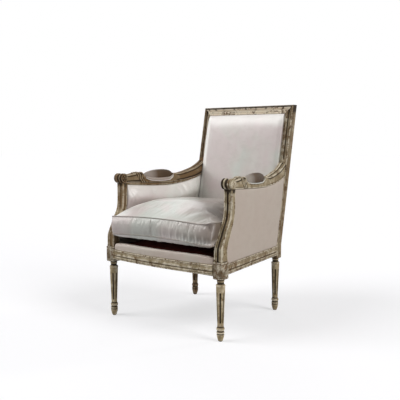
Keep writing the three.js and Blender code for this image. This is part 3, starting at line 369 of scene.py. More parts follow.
paint_group = worn_paint_group()
leg_paint = material_of("worn_leg_paint", paint_group, {"Relief": "relief", "Wear": 0.42, "Warmth": 0.25}, 0.0006, {"Specular IOR Level": 0.14})
block_paint = material_of("worn_block_paint", paint_group, {"Relief": "relief", "Wear": 0.85, "Warmth": 0.3, "Dirt": 1.15}, 0.0006, {"Specular IOR Level": 0.14})
low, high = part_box("front_leg_left")
front_leg_x, front_leg_y = (low.x + high.x) / 2, (low.y + high.y) / 2
block_width, block_depth = high.x - low.x, high.y - low.y
BLOCK_LEVELS = (
    (0.2618, 0.0032, -0.5), (0.265, 0.0, 0.5), (0.2685, 0.0, 0.5), (0.2698, 0.0009, -0.8), (0.2712, 0.0002, 0),
    (0.30, 0.0002, 0), (0.3245, 0.0002, 0), (0.3258, 0.001, -0.8), (0.327, 0.0, 0.4), (0.3322, 0.0, 0.6), (0.333, 0.0008, 0.6),
)
for side, hand in ((1, "left"), (-1, "right")):
    turning, turning_relief = turned_leg(side * front_leg_x, front_leg_y)
    block, block_relief = square_block(side * front_leg_x, front_leg_y, block_width, block_depth, BLOCK_LEVELS)
    points, faces, relief = joined([(turning, turning_relief, False), (block, block_relief, False)])
    leg = put(f"front_leg_turned_{hand}", points, faces, leg_paint, relief)
    leg.data.materials.append(block_paint)
    in_block = np.array([min(face) >= turning_relief.size for face in faces])
    leg.data.polygons.foreach_set("material_index", in_block.astype(np.int32))
    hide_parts(f"front_leg_{hand}")

# Rear posts
# A rear post is leg and back stile in one piece of beech. The turned leg stands upright, and the
# stile rakes back above the seat, moulded on its face from the arm up to a mitre at the crest.
low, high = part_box("rear_post_left")
STILE_WIDTH, STILE_DEPTH = high.x - low.x, 0.039
stile_outer = high.x
rear_leg_x = (low.x + high.x) / 2
stile_foot = low.y
rear_leg_y = stile_foot + STILE_DEPTH / 2
BACK_TOP = high.z
RAKE_START, RAKE = 0.325, tan(radians(11.25))
CREST_HEIGHT = 0.042
MITRE_GAP = 0.0003
BEAD = 0.0042
STILE_FACE = (
    (0, 0.0026, -1), (0.05, 0.0010, 0.2), (0.12, 0.0006, 0.5), (0.2, 0.0010, 0.2), (0.25, 0.0030, -0.8), (0.33, 0.0050, -0.35),
    (0.42, 0.0050, -0.2), (0.5, 0.0044, -0.6), (0.55, 0.0042, -1), (0.59, 0.0024, -0.6), (0.64, 0.0008, 0.7), (0.76, 0.0002, 0.95),
    (0.88, 0.0004, 0.9), (0.95, 0.0014, 0.1), (1, 0.0026, -1),
)
PLAIN_FACE = tuple((share, 0.0, 0.0) for share, _, _ in STILE_FACE)
SUNK_SIDE = ((0, 0.0014, -0.8), (0.06, 0.001, 0.1), (0.5, 0.0012, 0), (0.94, 0.001, 0.1), (1, 0.0014, -0.8))
PLAIN_SIDE = tuple((share, 0.0, 0.0) for share, _, _ in SUNK_SIDE)
STILE_OUTER_SIDE = ((0, 0.0, -0.25), (0.06, 0.0, -0.2), (0.5, 0.0, -0.3), (0.94, 0.0, -0.42), (1, 0.0, -0.3))


def stile_front(z):
    """Front face of the stile: upright at the seat, raked above it."""
    return stile_foot + np.maximum(0, z - RAKE_START) * RAKE


def outline_of(radii, quirks, faces):
    """Outline of a square member, walked along its face, down one side, over its back and up the
    other. Each corner is round, and runs on past the quarter into the quirks beside it; each face
    runs between them through its table of share, sinkage and relief. Rows hold share of width,
    offset, share of depth, offset, relief."""
    corners = np.array([(0, 0), (1, 0), (1, 1), (0, 1)], dtype=float)
    along = np.array([(1, 0), (0, 1), (-1, 0), (0, -1)], dtype=float)
    inward = np.array([(0, 1), (-1, 0), (0, -1), (1, 0)], dtype=float)
    wrap = [[np.arccos(1 - min(1, quirks[k - 1 + m] / radii[k])) for m in (0, 1)] for k in range(4)]
    rows = []
    for k in range(4):
        before, after = wrap[k]
        turn = np.linspace(pi - before, 1.5 * pi + after, 11)
        a, b = radii[k] * (1 + np.cos(turn)), radii[k] * (1 + np.sin(turn))
        part = np.linspace(-1, 1, 11)
        ends = np.where(part < 0, -1.0 if before > 0.1 else 0.1, -1.0 if after > 0.1 else 0.1)
        relief = 1 - (1 - ends) * np.abs(part) ** 3
        offset = a[:, None] * along[k] + b[:, None] * inward[k]
        share = np.broadcast_to(corners[k], offset.shape)
        rows.append(np.column_stack([share[:, 0], offset[:, 0], share[:, 1], offset[:, 1], relief]))
        table = np.array(faces[k])
        following = (k + 1) % 4
        start = radii[k] * (1 + np.sin(after)) + 0.0004
        end = radii[following] * (1 + np.sin(wrap[following][0])) + 0.0004
        t = table[:, 0]
        offset = (start * (1 - t) - end * t)[:, None] * along[k] + table[:, 1][:, None] * inward[k]
        share = corners[k] + t[:, None] * along[k]
        rows.append(np.column_stack([share[:, 0], offset[:, 0], share[:, 1], offset[:, 1], table[:, 2]]))
    return np.concatenate(rows)


def section_at(outline, width, depth):
    """Across and into of every outline point at each station: share times size, plus offset."""
    width, depth = np.atleast_1d(width)[:, None], np.atleast_1d(depth)[:, None]
    return outline[:, 0] * width + outline[:, 1], outline[:, 2] * depth + outline[:, 3]


MOULDED = outline_of((BEAD, BEAD, 0.002, 0.002), (0.0026, 0, 0, 0), (STILE_FACE, PLAIN_SIDE, PLAIN_SIDE, STILE_OUTER_SIDE))
MOULDED[24:37, 4] = np.maximum(MOULDED[24:37, 4], 0.5)
PLAIN = outline_of((BEAD, BEAD, 0.002, 0.002), (0.0001, 0, 0, 0), (PLAIN_FACE, PLAIN_SIDE, PLAIN_SIDE, STILE_OUTER_SIDE))
ARM_TOP_AT_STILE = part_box("arm_rail_left")[1].z


def back_stile(side):
    """Stile through levels of height: its outline changes from plain to moulded over a short
    run-out above the arm, and its last ring is cut at the mitre, falling inward as it rises out."""
    run = ARM_TOP_AT_STILE + 0.010
    level = np.concatenate([[0.2602, 0.262, 0.2635], np.linspace(0.27, run, 60)[:-1], np.linspace(run, run + 0.010, 8), np.linspace(run + 0.012, 0.950, 60), [0.999, 1]])
    fade = np.clip((level - run) / 0.008, 0, 1) ** 0.5
    outline = PLAIN + fade[:, None, None] * (MOULDED - PLAIN)
    across = outline[:, :, 0] * STILE_WIDTH + outline[:, :, 1]
    into = outline[:, :, 2] * STILE_DEPTH + outline[:, :, 3]
    height = np.broadcast_to(level[:, None], across.shape).copy()
    mitre = BACK_TOP - across[-1] * CREST_HEIGHT / STILE_WIDTH - MITRE_GAP * across[-1] / STILE_WIDTH
    height[-2:] = np.stack([mitre - 0.0012, mitre])
    relief = outline[:, :, 4].copy()
    relief -= 0.9 * np.clip((height - BACK_TOP + 0.032) / 0.016, 0, 1)
    relief[-1] = -0.9
    relief[:2] = -0.5
    shrink = np.array([0.93, 0.985])[:, None]
    across[:2] = STILE_WIDTH / 2 + (across[:2] - STILE_WIDTH / 2) * shrink
    into[:2] = STILE_DEPTH / 2 + (into[:2] - STILE_DEPTH / 2) * shrink
    rings = np.stack([side * (stile_outer - across), stile_front(height) + into, height], axis=-1)
    return rings, relief


frame_paint = material_of("worn_frame_paint", paint_group, {"Relief": "relief", "Wear": 0.6, "Warmth": 0.15, "Dirt": 0.28}, 0.0006, {"Specular IOR Level": 0.14})
for side, hand, warmth, leg_dirt in ((1, "left", 0.5, 0.0), (-1, "right", 1.1, 0.4)):
    rear_leg_values = {"Relief": "relief", "Wear": 0.5 + 2.6 * leg_dirt, "Warmth": warmth * 0.8, "Dirt": leg_dirt}
    rear_leg_paint = material_of(f"worn_rear_leg_paint_{hand}", paint_group, rear_leg_values, 0.0006, {"Specular IOR Level": 0.14})
    rear_paint = material_of(f"worn_post_paint_{hand}", paint_group, {"Relief": "relief", "Wear": 0.8, "Warmth": warmth, "Glaze": 1.0, "Dirt": 0.42}, 0.0006, {"Specular IOR Level": 0.14})
    turning, turning_relief = turned_leg(side * rear_leg_x, rear_leg_y)
    stile, stile_relief = back_stile(side)
    points, faces, relief = joined([(turning, turning_relief, False), (stile, stile_relief, False)])
    post = put(f"rear_post_moulded_{hand}", points, faces, rear_paint, relief)
    post.data.materials.append(rear_leg_paint)
    in_leg = np.array([min(face) < turning_relief.size for face in faces])
    post.data.polygons.foreach_set("material_index", in_leg.astype(np.int32))
    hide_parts(f"rear_post_{hand}")

# Crest rail
# The straight crest closes the back frame. It has the same moulding as the stiles and is mitred
# to them, with a tenon at each end.
share = np.concatenate([[-1], np.linspace(-0.998, 0.998, 148), [1]])[:, None]
across, into = section_at(MOULDED, np.full(150, CREST_HEIGHT), np.full(150, STILE_DEPTH))
height = BACK_TOP - across
crest_rings = np.stack([share * (stile_outer - across - MITRE_GAP), stile_front(height) + into, height], axis=-1)
crest_relief = np.broadcast_to(MOULDED[:, 4], crest_rings.shape[:2]).copy()
crest_relief[[0, -1]] = -0.9
crest_relief[1:-1, 13:19] += 0.5
crest_relief[1:-1, 5:12] -= 1.9
crest_relief[1:-1, :5] = -0.8
chipped = sum(np.exp(-((share[1:-1] - place) / 0.028) ** 2) for place in (-0.93, -0.76, -0.3, -0.02, 0.22, 0.45, 0.84))
crest_relief[1:-1, 8:16] -= 1.7 * chipped
points, faces, relief = joined([(crest_rings, crest_relief, False)])
crest_paint = material_of("worn_crest_paint", paint_group, {"Relief": "relief", "Wear": 0.5, "Warmth": 0.1, "Glaze": 0.7, "Pale": 0.92}, 0.0006, {"Specular IOR Level": 0.14})
crest = put("crest_rail_moulded", points, faces, crest_paint, relief)
crest_back_paint = material_of("worn_crest_back_paint", paint_group, {"Relief": "relief", "Wear": 0.8, "Warmth": 0.8, "Dirt": 0.42}, 0.0006, {"Specular IOR Level": 0.14})
crest.data.materials.append(crest_back_paint)
off_the_face = np.array([min(index % len(MOULDED) for index in face) >= 42 for face in faces])
crest.data.polygons.foreach_set("material_index", off_the_face.astype(np.int32))
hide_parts("crest_rail")

# Seat rails
# Four beech rails are tenoned into the leg blocks. The show face has a broad bead over a narrow
# one with a dark groove between them, and the front rail bows forward between the legs.
RAIL_FACE = (
    (0, 0.0016, -0.7), (0.04, 0.0008, 0.4), (0.14, 0.0, 0.7), (0.26, 0.0008, 0.4), (0.31, 0.0034, -1), (0.36, 0.0036, -1), (0.4, 0.0012, 0.1),
    (0.48, 0.0004, 0.6), (0.6, 0.0, 0.5), (0.74, 0.0004, 0.1), (0.78, 0.0014, -0.35), (0.82, 0.0012, -0.1), (0.92, 0.0004, 0.6), (1, 0.0016, -0.6),
)
RAIL = outline_of((0.003, 0.003, 0.0015, 0.0015), (0.0014, 0, 0, 0), (RAIL_FACE, PLAIN_SIDE, PLAIN_SIDE, PLAIN_SIDE))
RAIL_THICKNESS, SIDE_RAIL_PROUD = 0.028, 0.020
low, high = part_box("front_seat_rail")
rail_bottom, rail_top = low.z, high.z
RAIL_HEIGHT = rail_top - rail_bottom
front_rail_inner = high.y
front_rail_half = front_leg_x - block_width / 2
FRONT_RAIL_BOW = 0.018


def front_rail_face(x):
    """Bowed face of the front rail: a parabola, deepest between the leg blocks."""
    share = np.minimum(1, np.abs(x) / front_rail_half)
    return front_rail_inner - RAIL_THICKNESS - FRONT_RAIL_BOW * (1 - share ** 2)


def side_line(y):
    """Middle of the side rail in plan, straight from leg to leg."""
    share = (rear_leg_y - y) / (rear_leg_y - front_leg_y)
    return np.maximum(rear_leg_x, rear_leg_x + (front_leg_x - rear_leg_x) * share)


x = np.linspace(-1, 1, 120) * (front_rail_half - 0.0003)
up, into = section_at(RAIL, np.full(120, RAIL_HEIGHT), front_rail_inner - front_rail_face(x))
front_rings = np.stack([np.broadcast_to(x[:, None], up.shape), front_rail_face(x)[:, None] + into, rail_bottom + up], axis=-1)
points, faces, relief = joined([(front_rings, RAIL[:, 4], False)])
front_rail = put("front_seat_rail_beaded", points, faces, frame_paint, relief)
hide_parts("front_seat_rail")

low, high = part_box("rear_seat_rail")
x = np.linspace(-1, 1, 80) * (rear_leg_x - STILE_WIDTH / 2 - 0.0003)
up, into = section_at(RAIL, np.full(80, RAIL_HEIGHT), np.full(80, RAIL_THICKNESS))
rear_rings = np.stack([np.broadcast_to(x[:, None], up.shape), high.y - into, rail_bottom + up], axis=-1)
points, faces, relief = joined([(rear_rings, RAIL[:, 4], False)])
rear_rail = put("rear_seat_rail_beaded", points, faces, frame_paint, relief)
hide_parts("rear_seat_rail")

side_paint = material_of("worn_side_rail_paint", paint_group, {"Relief": "relief", "Wear": 0.85, "Warmth": 0.3, "Dirt": 0.55}, 0.0006, {"Specular IOR Level": 0.14})
y = np.linspace(front_leg_y + block_depth / 2 + 0.0003, stile_foot - 0.0003, 110)
up, into = section_at(RAIL, np.full(110, RAIL_HEIGHT), np.full(110, RAIL_THICKNESS))
for side, hand in ((1, "left"), (-1, "right")):
    out = side_line(y)[:, None] + SIDE_RAIL_PROUD - into
    rings = np.stack([side * out, np.broadcast_to(y[:, None], up.shape), rail_bottom + up], axis=-1)
    points, faces, relief = joined([(rings, RAIL[:, 4], False)])
    rail = put(f"side_seat_rail_beaded_{hand}", points, faces, side_paint, relief)
    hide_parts(f"side_seat_rail_{hand}")

# Arm supports
# A swept post stands on each front block and leans back to the arm. Its face has two beads
# with a hollow between them, and its sides are sunk between fillets.
SUPPORT_SWEEP = (
    (0, 0, 0.9), (0.17, 0.02, 0.8), (0.25, 0.14, 0.77), (0.34, 0.34, 0.74), (0.46, 0.6, 0.66),
    (0.52, 0.76, 0.6), (0.62, 0.94, 0.54), (0.78, 1, 0.54), (1, 1, 0.57),
)
SUPPORT_WIDTH, SUPPORT_SETBACK = 0.042, 0.069
ARM_UNDERSIDE = 0.626
ARM_THICKNESS, ARM_WIDTH = 0.045, 0.042
support_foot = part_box("arm_support_left")[0].y
SUPPORT_FACE = (
    (0, 0.003), (0.05, 0.0012), (0.17, 0.001), (0.24, 0.0032), (0.36, 0.0052), (0.5, 0.006),
    (0.64, 0.0056), (0.76, 0.0034), (0.83, 0.001), (0.95, 0.0012), (1, 0.003),
)
# Relief across each support's face, for each side of the chair: rubbed beads, and a dark line in the hollow on its wall
# nearer negative x, which is painted shade. The right support's inner side is darker all over.
SUPPORT_WEAR_AND_SHADE = {
    "left": (-0.3, 0.1, 0.4, -0.05, -0.15, -0.5, -0.95, -0.75, 0.5, 0.1, -1),
    "right": (-0.5, 0.5, 0.9, 0.3, -0.3, -0.9, -0.15, 0.0, 0.1, 0.0, -0.3),
}
SUPPORT_INNER = {"left": SUNK_SIDE, "right": tuple((share, sunk, -0.75) for share, sunk, _ in SUNK_SIDE)}


def support_outline(hand):
    """Outline of a support, whose face has two beads and a hollow, with the relief of its side of the chair: wear on
    the beads and a line of painted shade in the hollow.
    """
    face = tuple((*row, relief) for row, relief in zip(SUPPORT_FACE, SUPPORT_WEAR_AND_SHADE[hand]))
    corners, quirks = (0.0046, 0.0046, 0.0026, 0.0026), (0.003, 0.0018, 0, 0.0018)
    return outline_of(corners, quirks, (face, SUPPORT_INNER[hand], PLAIN_SIDE, SUNK_SIDE))




def support_share(z):
    return (z - LEG_BLOCK_TOP) / (ARM_UNDERSIDE - LEG_BLOCK_TOP)


def support_front(z):
    """Front of the swept support, smooth through its table."""
    return support_foot + through(SUPPORT_SWEEP, support_share(z), 1) * SUPPORT_SETBACK


def support_rear(z):
    """Rear of the support, and the rear of the leg block below it."""
    swept = support_front(z) + through(SUPPORT_SWEEP, support_share(z), 2) * block_depth
    return np.where(z < LEG_BLOCK_TOP, front_leg_y + block_depth / 2, swept)


# Share of the arm's length, underside and top in arm thicknesses, and share of its moulding
ARM_SWEEP = (
    (0, 0, 0.87, 1), (0.022, 0, 0.86, 1), (0.067, 0, 0.86, 1), (0.125, -0.03, 0.95, 1), (0.16, -0.05, 1.05, 1),
    (0.2, -0.07, 1.1, 1), (0.215, -0.08, 0.98, 0.1), (0.23, -0.09, 0.7, 0.1), (0.26, -0.1, 0.49, 0.1),
    (0.32, -0.13, 0.38, 0.1), (0.42, -0.17, 0.31, 0.1), (0.52, -0.2, 0.34, 0.1), (0.56, -0.19, 0.5, 0.1),
    (0.594, -0.18, 0.82, 0.1), (0.664, -0.12, 0.77, 1), (0.735, -0.04, 0.89, 1), (0.803, 0.08, 1.09, 1),
    (0.872, 0.23, 1.32, 1), (0.927, 0.39, 1.58, 1), (0.967, 0.51, 1.84, 1), (1, 0.62, 2.13, 1),
)
scroll_y = support_foot + SUPPORT_SETBACK - 0.017 + 0.023
arm_rear_y = float(stile_front(ARM_TOP_AT_STILE))


def arm_share(y):
    return np.clip((y - scroll_y) / (arm_rear_y - scroll_y), 0, 1)


def arm_underside(y):
    return ARM_UNDERSIDE + through(ARM_SWEEP, arm_share(y), 1) * ARM_THICKNESS


def arm_top(y):
    return ARM_UNDERSIDE + through(ARM_SWEEP, arm_share(y), 2) * ARM_THICKNESS


def arm_line(y):
    """Middle of the arm in plan, straight from over the front leg to the stile."""
    return front_leg_x + (rear_leg_x - front_leg_x) * arm_share(y)


level = np.linspace(LEG_BLOCK_TOP + 0.0003, ARM_UNDERSIDE, 110)
depth = through(SUPPORT_SWEEP, support_share(level), 2) * block_depth
across, into = section_at(support_outline("left"), np.full(110, SUPPORT_WIDTH), depth)
support_y = support_front(level)[:, None] + into
rise = (level - level[0]) / (level[-1] - level[0])
ceiling = arm_underside(support_y) - 0.0003
support_z = level[:, None] + (ceiling - ARM_UNDERSIDE) * rise[:, None] ** 6
for side, hand, warmth, glaze, dirt in ((1, "left", 0.3, 1.0, 0.3), (-1, "right", 0.65, 0.6, 0.0)):
    support_relief = np.broadcast_to(support_outline(hand)[:, 4], support_z.shape).copy()
    # Painted shade: the support is darker at its foot, where it meets the block, and darker still up under the arm.
    support_relief[:2] -= 0.7
    support_relief[-8:] -= np.linspace(0.2, 1.6, 8)[:, None]
    support_paint = material_of(f"worn_support_paint_{hand}", paint_group, {"Relief": "relief", "Wear": 0.6, "Warmth": warmth, "Glaze": glaze, "Dirt": dirt}, 0.0006, {"Specular IOR Level": 0.14})
    rings = np.stack([side * (front_leg_x + SUPPORT_WIDTH / 2 - across), support_y, support_z], axis=-1)
    points, faces, relief = joined([(rings, np.clip(support_relief, -1, 1), False)])
    support = put(f"arm_support_swept_{hand}", points, faces, support_paint, relief)
    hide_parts(f"arm_support_{hand}")

# Arm rails
# Each arm is carved from one piece: a scroll with a rosette on both sides, a framed body with
# a slanted double collar, a dip that the pad is let into, and a moulded sweep up to the stile.
ARM_SIDE = ((0, 0.0016, -1), (0.1, 0.0018, -0.9), (0.2, 0.0018, -0.1), (0.5, 0.0016, 0.0), (0.8, 0.0014, 0.1), (0.94, 0.0012, -0.3), (1, 0.0016, -0.9))
ARM_SIDE_UP = tuple((1 - share, sunk, relief) for share, sunk, relief in reversed(ARM_SIDE))
ARM_PLAIN_SIDE = tuple((share, 0.0, 0.0) for share, _, _ in ARM_SIDE)
ARM_INNER = ((0, 0.0016, -1), (0.1, 0.0018, -0.8), (0.2, 0.0018, -0.05), (0.6, 0.0016, 0.0), (0.74, 0.0014, -0.1), (0.84, 0.0012, -1), (1, 0.0016, -1))
ARM_MOULDED = outline_of((0.0036, 0.0036, 0.0028, 0.0028), (0.0026, 0.0018, 0, 0.0018), (STILE_FACE, ARM_INNER, PLAIN_SIDE, ARM_SIDE_UP))
ARM_PLAIN = outline_of((0.0036, 0.0036, 0.0028, 0.0028), (0.0010, 0.0014, 0, 0.0014), (PLAIN_FACE, ARM_PLAIN_SIDE, PLAIN_SIDE, ARM_PLAIN_SIDE))
SCROLL_RADIUS, SCROLL_WIDTH = 0.023, 0.048
SCROLL_HEIGHT = ARM_UNDERSIDE + SCROLL_RADIUS
COLLAR_TOP_Y, COLLAR_BOTTOM_Y = -0.1859, -0.1519
COLLAR_LOW, COLLAR_HIGH = 0.628, 0.675
BEAD_DROP, BEAD_WIDTH = 0.010, 0.013
BEAD_SWEEP = ((0, 0.8), (0.4, 1.3), (0.75, 0.8), (1, 0.1))


def bump(distance, half_width):
    """Round rib over a distance: cosine bell, nothing beyond its half width."""
    return np.where(np.abs(distance) < half_width, 0.5 + 0.5 * np.cos(pi * distance / half_width), 0.0)


def arm_body():
    """Arm through stations along its length. The outline is plain under the pad and moulded at both
    ends; two ribs stand out of it along a slanted line, and the last ring lies on the raked stile."""
    share = np.unique(np.concatenate([np.linspace(0, 1, 150), np.linspace(0.125, 0.235, 64), np.linspace(0.54, 0.64, 24)]))
    y = scroll_y + (arm_rear_y - scroll_y) * share
    bottom, top = arm_underside(y), arm_top(y)
    moulded = through([(row[0], row[3]) for row in ARM_SWEEP], share, 1)
    outline = ARM_PLAIN + moulded[:, None, None] * (ARM_MOULDED - ARM_PLAIN)
    across = outline[:, :, 0] * ARM_WIDTH + outline[:, :, 1]
    down = outline[:, :, 2] * (top - bottom)[:, None] + outline[:, :, 3]
    height = top[:, None] - down
    slant = COLLAR_TOP_Y + (COLLAR_HIGH - height) / (COLLAR_HIGH - COLLAR_LOW) * (COLLAR_BOTTOM_Y - COLLAR_TOP_Y)
    from_collar = y[:, None] - slant
    rib = bump(from_collar + 0.0065, 0.0044) + bump(from_collar - 0.0055, 0.0044)
    groove = 1.3 * (bump(from_collar + 0.0130, 0.0044) + bump(from_collar + 0.0005, 0.0034) + bump(from_collar - 0.0120, 0.0044))
    middle_down = (top - bottom)[:, None] / 2
    grow = 0.0016 * rib - 0.0007 * groove
    across = across + grow * np.sign(across - ARM_WIDTH / 2)
    height = height + grow * np.where(down < middle_down, 1.0, 0.0)
    relief = outline[:, :, 4] * (1 - np.clip(rib + groove, 0, 1)) + 0.9 * rib - groove
    pull = np.clip((share - 0.86) / 0.14, 0, 1)[:, None]
    shift = (stile_front(height) - 0.0003 - arm_rear_y) * pull * pull * (3 - 2 * pull)
    place_y = y[:, None] + shift
    out = arm_line(y)[:, None] + ARM_WIDTH / 2 - across
    relief[-2:] -= 0.8
    return np.stack([out, place_y, height], axis=-1), np.clip(relief, -1, 1)


# Share across the barrel, sinkage and relief, from an end to the middle
SCROLL_BARREL = (
    (0, 0.0006, 0.5), (0.05, 0, 0.9), (0.09, 0.0008, 0.4), (0.13, 0.0034, -1), (0.18, 0.0034, -1), (0.22, 0.0010, 0.2),
    (0.29, 0, 0.95), (0.35, 0.0010, 0.4), (0.4, 0.0036, -0.9), (0.5, 0.0046, -0.85),
)


def arm_scroll():
    """Spool about a level axis: the barrel is coved and grooved round it, and each end swells into a
    rosette, whose height is four petals round a button inside a rim bead."""
    sides = 96
    turn = np.arange(sides) * 2 * pi / sides
    cap = np.concatenate([np.linspace(0.0006, 0.0215, 26), [0.0222, 0.0227]])
    petal = np.abs(np.cos(2 * turn))[None, :] ** 0.6
    r = cap[:, None]
    leaf = 0.0024 * petal * bump(r - 0.0092, 0.0062) + 0.0026 * bump(r, 0.0042)
    rim = 0.0020 * bump(r - 0.0182, 0.0036)
    swell = np.where(r > 0.0215, -(r - 0.0215) * 0.7, 0.0) + leaf + rim
    dent = -0.7 * bump(r - 0.0145, 0.002) - 0.8 * (1 - petal) * bump(r - 0.0095, 0.0055) - 0.7 * bump(r - 0.0047, 0.0012)
    light = 0.5 * petal * bump(r - 0.0092, 0.0062) + 0.9 * bump(r, 0.0035) + 0.9 * bump(r - 0.0182, 0.0034)
    cap_relief = np.clip(light + dent, -1, 1)
    half = SCROLL_WIDTH / 2
    share = np.linspace(0.015, 0.985, 90)
    from_end = np.minimum(share, 1 - share)
    barrel = SCROLL_RADIUS - through(SCROLL_BARREL, from_end, 1)
    barrel_relief = through(SCROLL_BARREL, from_end, 2)
    middle = (90, sides)
    along = np.broadcast_to(((share * 2 - 1) * half)[:, None], middle)
    flat_cap = np.broadcast_to(r, swell.shape)
    x = np.concatenate([-half - swell, along, (half + swell)[::-1]])
    radius = np.concatenate([flat_cap, np.broadcast_to(barrel[:, None], middle), flat_cap[::-1]])
    relief = np.concatenate([cap_relief, np.broadcast_to(barrel_relief[:, None], middle), cap_relief[::-1]])
    outward = np.clip(x / half, -1, 1)
    relief = np.clip(relief + np.where(outward < 0, 0.55 * outward, 1.1 * outward * (relief < 0)), -1, 1)
    relief[len(cap):len(cap) + 14] = -0.95
    rings = np.stack([front_leg_x + x, scroll_y + radius * np.cos(turn), SCROLL_HEIGHT + radius * np.sin(turn)], axis=-1)
    return rings, relief


def bead_underside(y):
    """Lower edge of the bead under the arm's inner edge."""
    return arm_underside(y) - BEAD_DROP * through(BEAD_SWEEP, arm_share(y), 1)


def inner_bead():
    """Bead along the arm's inner lower edge, from the support to the stile: half round below,
    square where it is glued to the arm."""
    start = float(support_rear(np.array([ARM_UNDERSIDE]))[0]) + 0.0003
    y = np.linspace(start, arm_rear_y, 110)
    turn = np.linspace(0, pi, 9)
    wide = np.concatenate([0.5 - 0.5 * np.cos(turn), [1, 0.5, 0]])
    round_part = np.concatenate([np.sin(turn), [0, 0, 0]])
    drop = (arm_underside(y) - bead_underside(y))[:, None]
    radius = np.minimum(drop, BEAD_WIDTH / 2)
    lift = np.concatenate([np.zeros(9), [0.0015, 0.0015, 0.0015]])
    height = bead_underside(y)[:, None] + radius - radius * round_part
    height = np.where(np.arange(12) > 8, arm_underside(y)[:, None] + lift, height)
    pull = np.clip((arm_share(y) - 0.86) / 0.14, 0, 1)[:, None]
    place_y = y[:, None] + (stile_front(height) - 0.0003 - arm_rear_y) * pull * pull * (3 - 2 * pull)
    out = arm_line(y)[:, None] - ARM_WIDTH / 2 + BEAD_WIDTH * wide
    relief = np.concatenate([[0.3, 0.8, 1, 1, 1, 0.9, 0.3, -0.5, -0.9], [-0.9, -0.9, -0.9]])
    return np.stack([out, place_y, height], axis=-1), relief


body, body_relief = arm_body()
scroll, scroll_relief = arm_scroll()
bead, bead_relief = inner_bead()
for side, hand, warmth, dirt in ((1, "left", 0.22, 0.42), (-1, "right", 1.5, 0.55)):
    turned = np.array([side, 1, 1])
    arm_paint = material_of(f"worn_arm_paint_{hand}", paint_group, {"Relief": "relief", "Wear": 0.5, "Warmth": warmth, "Dirt": dirt, "Glaze": 1.0}, 0.0006, {"Specular IOR Level": 0.14})
    points, faces, relief = joined([(body * turned, body_relief, False), (scroll * turned, scroll_relief, False), (bead * turned, bead_relief, False)])
    arm = put(f"arm_rail_carved_{hand}", points, faces, arm_paint, relief)
    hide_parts(f"arm_rail_{hand}")

# Inner frame
# Plain beech holds the chair together out of sight: a bottom rail across the back, and four
# corner blocks, each screwed to two rails. Steel glides are nailed under the feet.


def bare_wood_group():
    """Sawn beech: long grain bands with short dark pores across a pale brown."""
    group, _, target = new_group("bare_beech", {}, ("Color", "Roughness", "Height"))
    where = add(group, "TexCoord", {}).outputs["Object"]
    bands = noise(group, stretched(group, where, (4, 60, 60)), 1.0, 4, 0.6, 0.4)
    pores = noise(group, stretched(group, where, (30, 400, 400)), 1.0, 2, 0.5)
    tone = ramp(group, bands, (0.3, "#8f6f48"), (0.5, "#b08e62"), (0.7, "#c5a679"))
    tone = mixed(group, step_up(group, pores, 0.62, 0.75), tone, "#6d5234")
    rough = maths(group, "ADD", 0.55, maths(group, "MULTIPLY", bands, 0.3))
    for name, value in (("Color", tone), ("Roughness", rough), ("Height", pores)):
        group.links.new(value, target.inputs[name])
    return group


def steel_group():
    """Drawn steel: faint rust and grease clouds over grey."""
    group, _, target = new_group("drawn_steel", {}, ("Color", "Roughness", "Height"))
    where = add(group, "TexCoord", {}).outputs["Object"]
    cloud = noise(group, where, 90, 4, 0.6)
    fine = noise(group, where, 700, 2, 0.5)
    tone = ramp(group, cloud, (0.35, "#77797c"), (0.6, "#a2a4a7"), (0.78, "#8a7a66"))
    rough = maths(group, "ADD", 0.25, maths(group, "MULTIPLY", cloud, 0.3))
    for name, value in (("Color", tone), ("Roughness", rough), ("Height", fine)):
        group.links.new(value, target.inputs[name])
    return group


def dress(names, material):
    """Gives carried-over solids their finish."""
    for name in names:
        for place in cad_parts[name].material_slots:
            place.material = material


bare_wood = material_of("bare_beech", bare_wood_group(), {}, 0.0003, {"Specular IOR Level": 0.4})
steel = material_of("drawn_steel", steel_group(), {}, 0.0001, {"Metallic": 1.0})
corners = [f"{end}_{hand}" for end in ("front", "rear") for hand in ("left", "right")]
dress(["back_bottom_rail", *(f"corner_block_{corner}" for corner in corners)], bare_wood)
dress([f"glide_{corner}" for corner in corners], steel)
dress([f"screw_{end}_rail_{hand}" for end in ("front", "rear") for hand in ("left", "right")], steel)
dress([f"screw_side_rail_{corner}" for corner in corners], steel)

# Springing
# Five jute straps are woven under the seat and tacked to the rails, with a coil spring on each
# crossing. A black lining closes the underside, and hessian backs the padding of the back.
STRAP_THICKNESS = 0.0012


def cloth_group(name, thread, tones, slub):
    """Plain weave: two sets of threads a thread apart, with slubs along them, on object places."""
    group, _, target = new_group(name, {}, ("Color", "Roughness", "Height"))
    where = add(group, "TexCoord", {}).outputs["Object"]
    wave = 0.314 / thread
    waves = [add(group, "TexWave", {"Vector": where, "Scale": wave, "Distortion": 0.6, "Detail": 1.0}, bands_direction=axis).outputs[1] for axis in "XYZ"]
    weave = maths(group, "MULTIPLY", maths(group, "ADD", maths(group, "ADD", waves[0], waves[1]), waves[2]), 0.33)
    slubs = noise(group, stretched(group, where, (9, 60, 300)), 1.0, 3, 0.6)
    cloud = noise(group, where, 14, 3, 0.6)
    tone = ramp(group, maths(group, "ADD", maths(group, "MULTIPLY", cloud, 1 - slub), maths(group, "MULTIPLY", slubs, slub)), (0.3, tones[0]), (0.5, tones[1]), (0.7, tones[2]))
    tone = mixed(group, maths(group, "MULTIPLY", step_up(group, weave, 0.5, 0.2), 0.35), tone, tones[0])
    rough = maths(group, "ADD", 0.75, maths(group, "MULTIPLY", cloud, 0.2))
    for socket, value in (("Color", tone), ("Roughness", rough), ("Height", weave)):
        group.links.new(value, target.inputs[socket])
    return group


